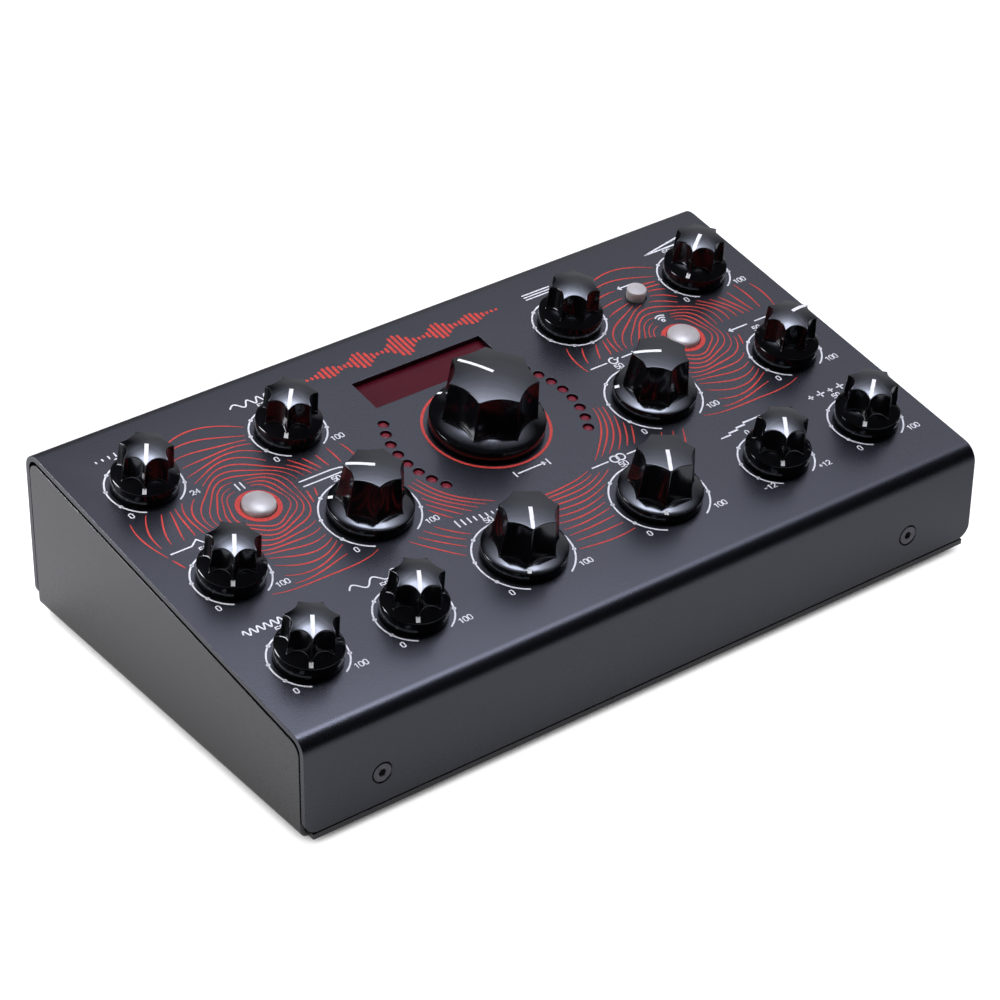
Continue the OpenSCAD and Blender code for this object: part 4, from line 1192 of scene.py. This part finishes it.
SIGNS = {
    "gain": bars([0.6, 0.9, 1.2, 1.6, 2.0, 2.5, 3.1], 2.6),
    "sweep": wave(22, 1.4, 6, chirp=1.6, count=96),
    "resonance": [[(-11, -0.5), (-3, -0.5), (0, 1.7), (2, -1.5), (11, -1.5)]],
    "mod_speed": wave(24, 1.3, 9, count=120),
    "mod_depth": wave(24, 1.6, 3),
    "cutoff": [[(-12, 1.2), (1, 1.2), (4, 0.8), (9.5, -1.5)], [(-12, -1.5), (12, -1.5)]],
    "reverb": bars([3.2, 2.8, 2.4, 2.0, 1.7, 1.4, 1.1, 0.9, 0.7, 0.5], 2.3),
    "time": [[(-7, -1.3), (-7, 1.3)], [(7, -1.3), (7, 1.3)]] + arrow(-5.6, 5.6),
    "mix": [loop(-1.3, 1.6), loop(1.3, 1.6), [(-11, 0), (-4.2, 0)], [(4.2, 0), (11, 0)]],
    "feedback": [loop(0, 1.6, 60, 360), [(0.7, 0.4), (1.6, -0.25), (2.5, 0.6)],
                 [(-10, 0), (-3, 0)]] + arrow(4, 10),
    "data": [[(-6, 1.3), (6, 1.3)], [(-6, 0), (6, 0)], [(-6, -1.3), (6, -1.3)]],
    "volume": [[(-9, -1.4), (9, -1.4), (9, 1.7), (-9, -1.4)]],
    "spread": arrow(-2, -10) + arrow(2, 10),
    "pitch": [[(-10, -1.5), (-6, -1.5), (-6, -0.5), (-2, -0.5), (-2, 0.5), (2, 0.5), (2, 1.5), (10, 1.5)]],
    "shimmer": (sparkle(-9, 0.9) + sparkle(-4.5, 1.5) + sparkle(0, 0.9) + sparkle(4.5, 1.5)
                + sparkle(9, 0.9)),
    "freeze": [[(-1, -1.6), (-1, 1.6)], [(1, -1.6), (1, 1.6)]],
    "tap": [loop(0, 0.6), loop(0, 1.8, 40, 140, 9), loop(0, 3, 50, 130, 9)],
    "back": arrow(3, -3),
}
SIGN_WEIGHT = 1.5
SIGN_OVER_SCALE = 5.6 * MM
SIGN_OVER_BUTTON = 11.4 * MM
SIGN_OVER_BACK = 6.6 * MM
SIGN_UNDER_TIME = 26.0 * MM
SIGN_MARGIN = 1.6 * MM
SIGN_HALF_H = 2.9 * MM


def sign_place(name):
    """Where a control's sign is printed."""
    if name == "time":
        return TIME_PLACE - Vector((0, SIGN_UNDER_TIME))
    if name == "back":
        return BUTTON_PLACES[name] + Vector((0, SIGN_OVER_BACK))
    if name in ROUND_BUTTONS:
        return BUTTON_PLACES[name] + Vector((0, SIGN_OVER_BUTTON))
    return DIAL_PLACES[name] + Vector((0, scale_radius(name) + SIGN_OVER_SCALE))


def sign_room(strokes):
    """Half of the room that a sign takes, with a margin."""
    reach = max(abs(x) for stroke in strokes for x, _ in stroke)
    return Vector((reach * MM + SIGN_MARGIN, SIGN_HALF_H))


def draw_sign(white, looks, strokes, place):
    for stroke in strokes:
        white.line([place + Vector(point) * MM for point in stroke], looks.sign_w * SIGN_WEIGHT)


# Red print
TIME_RING = (21.9 * MM, 22.9 * MM)
TIME_RING_SIDES = 120
BUTTON_RING = (6.3 * MM, 8.0 * MM)
BARS_PLACE = WINDOW_PLACE + Vector((0, 16.7 * MM))
BARS_COUNT = 43
BARS_PITCH = 2.0 * MM
BAR_W = BARS_PITCH * 0.6
BAR_LEAST = 1.3 * MM
BAR_MOST = 12.4 * MM

# The pulse that the bars show and its fading repeats: how far each is from the middle, and its peak
PULSES = ((0, 12.0 * MM), (17.0 * MM, 8.0 * MM), (31.0 * MM, 5.0 * MM))
PULSE_W = 4.2 * MM

# Room that the red waves leave round the other things on the panel
SCALE_ROOM = 1.4 * MM
TIME_RING_ROOM = 1.2 * MM
BUTTON_RING_ROOM = 1.0 * MM
BACK_ROOM = 5.2 * MM
LAMP_ROOM = 3.1 * MM
WINDOW_ROOM = 2.0 * MM

# Room of a dial's low and high numbers: how far out from the scale, at which angle, and its radius
NUMBER_ROOMS = ((3.0 * MM, 222, 3.4 * MM), (3.4 * MM, -41, 3.6 * MM))


def bar_height(x):
    """Height of the red bar at a distance from the middle one."""
    height = BAR_LEAST
    for place, peak in PULSES:
        height += peak * math.exp(-((abs(x) - place) / PULSE_W) ** 2)
    return min(height, BAR_MOST)


def clear_of(point, keep):
    """Whether a point is outside all the circles and boxes to keep free."""
    for middle, half in keep:
        away = Vector(point) - middle
        if isinstance(half, Vector):
            if abs(away.x) < half.x and abs(away.y) < half.y:
                return False
        elif away.length < half:
            return False
    return True


def lamp_places():
    places = []
    for side in (0, 180):
        for index in range(LAMP_COUNT):
            angle = side + (index - (LAMP_COUNT - 1) / 2) * LAMP_STEP
            places.append(polar(TIME_PLACE, LAMP_RING_R, angle))
    return places


def places_to_keep():
    """Circles and boxes on the panel that the red waves leave free."""
    keep = [(TIME_PLACE, TIME_RING[1] + TIME_RING_ROOM), (BUTTON_PLACES["back"], BACK_ROOM),
            (WINDOW_PLACE, Vector((WINDOW_W / 2 + WINDOW_ROOM, WINDOW_H / 2 + WINDOW_ROOM)))]
    keep += [(place, LAMP_ROOM) for place in lamp_places()]
    keep += [(BUTTON_PLACES[name], BUTTON_RING[1] + BUTTON_RING_ROOM) for name in ROUND_BUTTONS]
    keep += [(sign_place(name), sign_room(strokes)) for name, strokes in SIGNS.items()]
    for dial, place in DIAL_PLACES.items():
        if dial == "time":
            continue
        radius = scale_radius(dial)
        keep.append((place, radius + SCALE_ROOM))
        if dial != "data":
            keep += [(polar(place, radius + out, angle), room) for out, angle, room in NUMBER_ROOMS]
    return keep


def print_broken(red, points, keep, width):
    """Prints the stretches of a line that lie outside the places to keep free."""
    stretch = []
    for point in list(points) + [None]:
        if point is not None and clear_of(point, keep):
            stretch.append(point)
            continue
        if len(stretch) >= SHORTEST_STRETCH:
            red.fading_line(stretch, width)
        stretch = []


class Ripples(NamedTuple):
    """Rings, or parts of rings, that spread from a point: radii in millimetres, wavering and angles."""
    first: float
    step: float
    growth: float
    count: int
    wobble: float
    lobes: int
    start: float
    end: float


TIME_RIPPLES = Ripples(
    first=39.8, step=1.9, growth=1.09, count=11, wobble=0.008, lobes=9, start=196, end=344)
BUTTON_RIPPLES = Ripples(
    first=10.4, step=1.9, growth=1.08, count=12, wobble=0.045, lobes=5, start=0, end=360)
RIPPLE_LEAST = 12
RIPPLE_GRAIN = 50
RIPPLE_TWIST = 0.3
SHORTEST_STRETCH = 6


def ripple(middle, radius, kind):
    """Points of one ring that wavers."""
    count = int((kind.end - kind.start) * radius / RIPPLE_GRAIN) + RIPPLE_LEAST
    points = []
    for angle in evenly(kind.start, kind.end, count):
        waver = kind.wobble * math.sin(kind.lobes * math.radians(angle) + radius * RIPPLE_TWIST)
        points.append(polar(middle, radius * (1 + waver) * MM, angle))
    return points


def ripples(middle, kind):
    """Rings round a point, with gaps that grow outward."""
    lines = []
    radius, step = kind.first, kind.step
    for _ in range(kind.count):
        lines.append(ripple(middle, radius, kind))
        radius += step
        step *= kind.growth
    return lines


def waves():
    """The red lines on the panel, which spread from the time dial and from the two round buttons."""
    lines = ripples(TIME_PLACE, TIME_RIPPLES)
    for name in ROUND_BUTTONS:
        lines += ripples(BUTTON_PLACES[name], BUTTON_RIPPLES)
    return lines


# How many times the ink's height each layer of print stands over the paint
WAVE_LAYER = 1
RING_LAYER = 1.5
SCALE_LAYER = 2

# Nodes of the back and the inside that share a finish
SOCKET_PLASTICS = (
    "audio_sockets", "control_sockets", "power_socket", "power_switch_housing", "power_rocker")
PLATED_PARTS = ("audio_socket_nuts", "bushing_nuts", "bushing_washers", "press_nuts", "board_screws")


# Operators
class DELAY_OT_case(bpy.types.Operator):
    """Paint the cover and tray, and finish the screws and feet"""
    bl_idname = "delay_unit.case"
    bl_label = "Case"

    def execute(self, context):
        looks = context.scene.delay_unit.case
        cover = powder_coat("cover_coat", looks.cover_color, looks.cover_sheen, looks)
        tray = powder_coat("tray_coat", looks.tray_color, looks.tray_sheen, looks)
        smooth_shell("cover", cover)
        smooth_shell("cover_back", cover)
        smooth_shell("bottom_tray", tray)
        smooth_shell("feet", rubber(looks.foot_color))
        steel = black_steel(looks.screw_color)
        screws = add_piece("socket_screws", *case_screws(), steel, CASE, "black_steel")
        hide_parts("cover_screws")
        screws.data.set_sharp_from_angle(angle=SCREW_CREASE)
        return {"FINISHED"}


class DELAY_OT_knobs(bpy.types.Operator):
    """Make the fifteen knobs with their pointers and skirt dots"""
    bl_idname = "delay_unit.knobs"
    bl_label = "Knobs"

    def execute(self, context):
        looks = context.scene.delay_unit.knobs
        plastic = gloss_knob(looks.body_color)
        paint = mark_paint(looks.mark_color)
        for dial in DIALS:
            shape = KnobShape(knob_size(dial))
            turn = Matrix.Rotation(math.radians(pointer_angle(dial)), 4, "Z")
            matrix = standing_at(DIAL_PLACES[dial]) @ turn
            body = dial + "_dial"
            knob = add_piece(
                "grip_" + dial, *shape.mesh(looks.edge_radius), plastic, body, "knob_black", matrix)
            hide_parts("knob_" + dial)
            if dial == "data":
                continue
            line, faces = shape.pointer(looks.pointer_w)
            dot, dot_faces = shape.dot(looks.dot_w, looks.dot_length)
            faces += shifted(dot_faces, len(line))
            add_piece("pointer_" + dial, line + dot, faces, paint, body, "cap_white", matrix)
        return {"FINISHED"}


class DELAY_OT_scales(bpy.types.Operator):
    """Print the dials' scales, numbers and signs"""
    bl_idname = "delay_unit.scales"
    bl_label = "Scales"

    def execute(self, context):
        looks = context.scene.delay_unit.ink
        white_ink = ink("white_ink", looks.white_color)
        scales = Print()
        for dial in DIALS:
            if dial != "time":
                dial_scale(scales, looks, dial)
        scales.piece("dial_scales", white_ink, looks.ink_h * SCALE_LAYER)
        signs = Print()
        for name, strokes in SIGNS.items():
            draw_sign(signs, looks, strokes, sign_place(name))
        signs.piece("control_signs", white_ink, looks.ink_h * SCALE_LAYER)
        return {"FINISHED"}


class DELAY_OT_waves(bpy.types.Operator):
    """Print the red rings, bars and waves"""
    bl_idname = "delay_unit.waves"
    bl_label = "Red print"

    def execute(self, context):
        looks = context.scene.delay_unit.ink
        red_ink = ink("red_ink", looks.red_color)
        rings = Print()
        rings.ring(TIME_PLACE, *TIME_RING, TIME_RING_SIDES)
        for name in ROUND_BUTTONS:
            rings.ring(BUTTON_PLACES[name], *BUTTON_RING)
        rings.piece("control_rings", red_ink, looks.ink_h * RING_LAYER)
        pulse = Print()
        for index in range(BARS_COUNT):
            x = (index - (BARS_COUNT - 1) / 2) * BARS_PITCH
            half = Vector((0, (bar_height(x) - BAR_W) / 2))
            middle = BARS_PLACE + Vector((x, 0))
            pulse.line([middle - half, middle + half], BAR_W)
        pulse.piece("pulse_bars", red_ink, looks.ink_h * WAVE_LAYER)
        red = Print()
        keep = places_to_keep()
        for points in waves():
            print_broken(red, points, keep, looks.wave_w)
        red.piece("panel_waves", red_ink, looks.ink_h * WAVE_LAYER)
        return {"FINISHED"}


class DELAY_OT_buttons(bpy.types.Operator):
    """Make the three push caps"""
    bl_idname = "delay_unit.buttons"
    bl_label = "Buttons"

    def execute(self, context):
        looks = context.scene.delay_unit.controls
        milky = milky_cap(looks.cap_color)
        for name, size in CAPS.items():
            matrix = standing_at(BUTTON_PLACES[name])
            cap = add_piece(
                "cap_" + name, *cap_mesh(size), milky, name + "_button", "cap_white", matrix)
            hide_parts("button_" + name)
        return {"FINISHED"}


class DELAY_OT_display(bpy.types.Operator):
    """Finish the display window and make the lamps"""
    bl_idname = "delay_unit.display"
    bl_label = "Display and lamps"

    def execute(self, context):
        looks = context.scene.delay_unit.controls
        dress("display_filter", red_filter(looks.window_color))
        dress("display_module", moulded("display_black", (0.01, 0.012, 0.015), 0.2))
        profile = [(AXIS_R, -BOARD_DEPTH), (LAMP_R, -BOARD_DEPTH), (LAMP_R, -LAMP_SINK - LAMP_EDGE),
                   (LAMP_R * LAMP_CROWN_SHARE, -LAMP_SINK - LAMP_CROWN_DROP), (AXIS_R, -LAMP_SINK)]
        lamp, lamp_faces = lathe(fillet(profile, LAMP_FILLET), LAMP_SIDES)
        corners = []
        faces = []
        for place in lamp_places():
            faces += shifted(lamp_faces, len(corners))
            corners += [(x + place.x, y + place.y, z) for x, y, z in lamp]
        lens = lamp_lens(looks.lamp_color)
        lamps = add_piece("lamp_lenses", corners, faces, lens, CASE, "lamp_red", PANEL)
        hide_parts("indicator_lamps")
        return {"FINISHED"}


class DELAY_OT_sockets(bpy.types.Operator):
    """Finish the sockets, nuts and power switch on the back"""
    bl_idname = "delay_unit.sockets"
    bl_label = "Sockets"

    def execute(self, context):
        black = moulded("socket_plastic", (0.014, 0.014, 0.015), 0.42)
        steel = plated_steel()
        for node in SOCKET_PLASTICS:
            smooth_shell(node, black)
        for node in PLATED_PARTS:
            smooth_shell(node, steel)
        for dial in DIALS:
            smooth_shell("shaft_" + dial, steel)
        return {"FINISHED"}


class DELAY_OT_inside(bpy.types.Operator):
    """Finish the boards and controls inside the case"""
    bl_idname = "delay_unit.inside"
    bl_label = "Inside"

    def execute(self, context):
        dress("control_board", circuit_board())
        dress("socket_board", circuit_board())
        dress("link_ribbon", ribbon_strip())
        dress("button_switches", moulded("switch_black", (0.02, 0.02, 0.021), 0.5))
        smooth_shell("board_spacers", spacer_brass())
        green = moulded("pot_green", (0.02, 0.06, 0.035), 0.5)
        smooth_shell("pot_bodies", green)
        smooth_shell("encoder_body", green)
        smooth_shell("encoder_push_plate", moulded("push_white", (0.5, 0.5, 0.47), 0.5))
        return {"FINISHED"}


# The softbox over the unit, as discs over each other that together fade from a bright middle to their edge:
# half of the angles that a disc spans across and along, its lean to the back, and its brightness
KEY_DISCS = (
    (13, 7, 0, 6.4), (15, 8.4, 1.6, 3.8), (17.5, 9.7, 3.4, 2.6), (20, 12, 5.4, 1.78),
    (22.5, 14.5, 7.5, 1.22), (25, 17.3, 9.7, 0.84), (27.5, 20.3, 11.5, 0.57), (30, 23.5, 12.5, 0.39),
    (32, 27, 14, 0.27), (34, 31, 16, 0.18))
KEY_MIDDLE = Vector((0.17, 0.041))
KEY_SIDE = Vector((0.64, 0.768))
KEY_ACROSS = Vector((0.792, -0.61, 0))
KEY_DISTANCE = 2.6
KEY_AIM = Vector((0, 0, 0.04))
KEY_TINT = (0.91, 0.94, 1.09)

# The small softbox at the left
SIDE_PLACE = (-0.38, 0.24, 0.16)
SIDE_AIM = (-0.14, 0.05, 0.03)
SIDE_SIZE = 0.2
SIDE_TINT = (1, 1, 1)

# The floor, its shade round the unit, and how its mirror image in the unit fades with distance
FLOOR_HALF = 8.0
FLOOR_LEVELS = (0.30, 0.32)
FLOOR_GLOW = 0.92
SHADE_REACH = 0.045
SHADE_SAMPLES = 8
SHADE_SPAN = (0.13, 0.44)
MIRROR_SHADE_SPAN = (0.1, 0.95)
MIRROR_LEVEL = 0.58
MIRROR_FADE = 0.55
MIRROR_FADE_SPAN = (0.17, 0.42)

# The sky from the horizon up, and its bright part, behind the unit to the right
SKY_STOPS = [(0.0, grey(0.09)), (0.12, color((0.012, 0.012, 0.014))), (1.0, color((0.03, 0.03, 0.034)))]
GLOW_SIDE = (0.70, 0.58, 0.42)
GLOW_SPAN = (0.86, 0.98)
GLOW_COLOR = (0.56, 0.56, 0.60)

SENSOR_W = 36


class DELAY_OT_stage(bpy.types.Operator):
    """Set up the floor, the lights and the camera"""
    bl_idname = "delay_unit.stage"
    bl_label = "Stage"

    def execute(self, context):
        looks = context.scene.delay_unit.stage
        self.add_camera(context, looks)
        self.add_floor(context)
        for across, along, lean, level in KEY_DISCS:
            level_part = KEY_MIDDLE + KEY_SIDE * math.sin(math.radians(lean))
            away = Vector((*level_part, math.sqrt(1 - level_part.length_squared)))
            width = 2 * KEY_DISTANCE * math.tan(math.radians(across))
            length = 2 * KEY_DISTANCE * math.tan(math.radians(along))
            power = looks.key_level * level * math.pi ** 2 * width * length / 4
            self.add_light(
                "key_light", KEY_AIM + away * KEY_DISTANCE, KEY_AIM, width, length, power, KEY_TINT)
        self.add_light(
            "side_light", SIDE_PLACE, SIDE_AIM, SIDE_SIZE, SIDE_SIZE, looks.side_power, SIDE_TINT)
        self.set_sky(context, looks.sky_strength)
        context.scene.view_settings.view_transform = "Standard"
        return {"FINISHED"}

    @staticmethod
    def add_camera(context, looks):
        lens = bpy.data.cameras.new("photo_camera")
        lens.sensor_width = SENSOR_W
        lens.lens = looks.lens
        camera = bpy.data.objects.new("photo_camera", lens)
        context.scene.collection.objects.link(camera)
        flat = math.cos(looks.elevation)
        back = Vector((math.sin(looks.azimuth) * flat, -math.cos(looks.azimuth) * flat,
                       math.sin(looks.elevation)))
        right = Vector((0, 0, 1)).cross(back).normalized()
        up = back.cross(right)
        rolled_right = right * math.cos(looks.roll) + up * math.sin(looks.roll)
        rolled_up = up * math.cos(looks.roll) - right * math.sin(looks.roll)
        axes = Matrix((rolled_right, rolled_up, back)).transposed().to_4x4()
        camera.matrix_world = Matrix.Translation(Vector(looks.aim) + back * looks.distance) @ axes
        context.scene.camera = camera

    @staticmethod
    def add_floor(context):
        half = FLOOR_HALF
        corners = [(-half, -half, 0), (half, -half, 0), (half, half, 0), (-half, half, 0)]
        mesh = bpy.data.meshes.new("floor")
        mesh.from_pydata(corners, [], [(0, 1, 2, 3)])
        finish = Finish("floor_white")
        low, high = FLOOR_LEVELS
        tint = finish.blend(grey(low), grey(high), finish.noise(3, 2))
        seen, glossy, through = finish.rays()
        open_sky = finish.node("ShaderNodeAmbientOcclusion", {"samples": SHADE_SAMPLES},
                               {"Distance": SHADE_REACH}, output="AO")
        reach = finish.node(
            "ShaderNodeVectorMath", {"operation": "LENGTH"}, {0: finish.place()}, output="Value")
        faded = MIRROR_LEVEL - reach.between(*MIRROR_FADE_SPAN) * MIRROR_FADE
        mirrored = open_sky.between(*MIRROR_SHADE_SPAN) * faded
        shade = seen * open_sky.between(*SHADE_SPAN) + (1 - seen) * mirrored
        shown = (seen + glossy + through) * FLOOR_GLOW
        matt = finish.node("ShaderNodeBsdfDiffuse", {}, {"Color": tint})
        glow = finish.node(
            "ShaderNodeEmission", {}, {"Color": finish.blend(grey(0), grey(1), shade), "Strength": shown})
        both = finish.node("ShaderNodeAddShader", {}, {0: matt, 1: glow})
        finish.node("ShaderNodeOutputMaterial", {}, {"Surface": both})
        set_material(mesh, finish.owner)
        floor = bpy.data.objects.new("floor", mesh)
        context.scene.collection.objects.link(floor)

    @staticmethod
    def add_light(name, place, aim, width, length, power, tint):
        lamp = bpy.data.lights.new(name, "AREA")
        lamp.shape = "ELLIPSE"
        lamp.size = width
        lamp.size_y = length
        lamp.energy = power
        lamp.color = tint
        light = bpy.data.objects.new(name, lamp)
        bpy.context.scene.collection.objects.link(light)
        away = (Vector(place) - Vector(aim)).normalized()
        across = (KEY_ACROSS - away * KEY_ACROSS.dot(away)).normalized()
        axes = Matrix((across, away.cross(across), away)).transposed()
        light.matrix_world = Matrix.Translation(place) @ axes.to_4x4()

    @staticmethod
    def set_sky(context, strength):
        world = bpy.data.worlds.new("studio_sky")
        context.scene.world = world
        sky = Finish("studio_sky", world)
        ray = sky.node("ShaderNodeTexCoord", {}, {}, output="Generated")
        tint = sky.node("ShaderNodeValToRGB", {"stops": SKY_STOPS}, {"Fac": sky.height(ray)})
        toward = sky.likeness(ray, GLOW_SIDE)
        tint = sky.blend(tint, color(GLOW_COLOR), toward.between(*GLOW_SPAN))
        seen, glossy, through = sky.rays()
        shown = (seen + glossy + through).between(0, 1)
        tint = sky.blend(grey(strength), tint, shown)
        glow = sky.node("ShaderNodeBackground", {}, {"Color": tint})
        sky.node("ShaderNodeOutputWorld", {}, {"Surface": glow})


STEPS = (DELAY_OT_stage, DELAY_OT_case, DELAY_OT_knobs, DELAY_OT_scales, DELAY_OT_waves,
         DELAY_OT_buttons, DELAY_OT_display, DELAY_OT_sockets, DELAY_OT_inside)


class DELAY_PT_looks(bpy.types.Panel):
    """Sidebar panel that lists the steps"""
    bl_idname = "DELAY_PT_looks"
    bl_label = "Delay Unit"
    bl_space_type = "VIEW_3D"
    bl_region_type = "UI"
    bl_category = "Delay Unit"

    def draw(self, context):
        for step in STEPS:
            self.layout.operator(step.bl_idname)


CLASSES = (CaseLooks, KnobLooks, PrintLooks, ControlLooks, StageLooks, DelayUnitLooks,
           *STEPS, DELAY_PT_looks)


def register():
    for cls in CLASSES:
        bpy.utils.register_class(cls)
    bpy.types.Scene.delay_unit = PointerProperty(type=DelayUnitLooks)


def unregister():
    del bpy.types.Scene.delay_unit
    for cls in reversed(CLASSES):
        bpy.utils.unregister_class(cls)


def main():
    register()
    for step in STEPS:
        family, name = step.bl_idname.split(".")
        getattr(getattr(bpy.ops, family), name)()


if __name__ == "__main__":
    main()
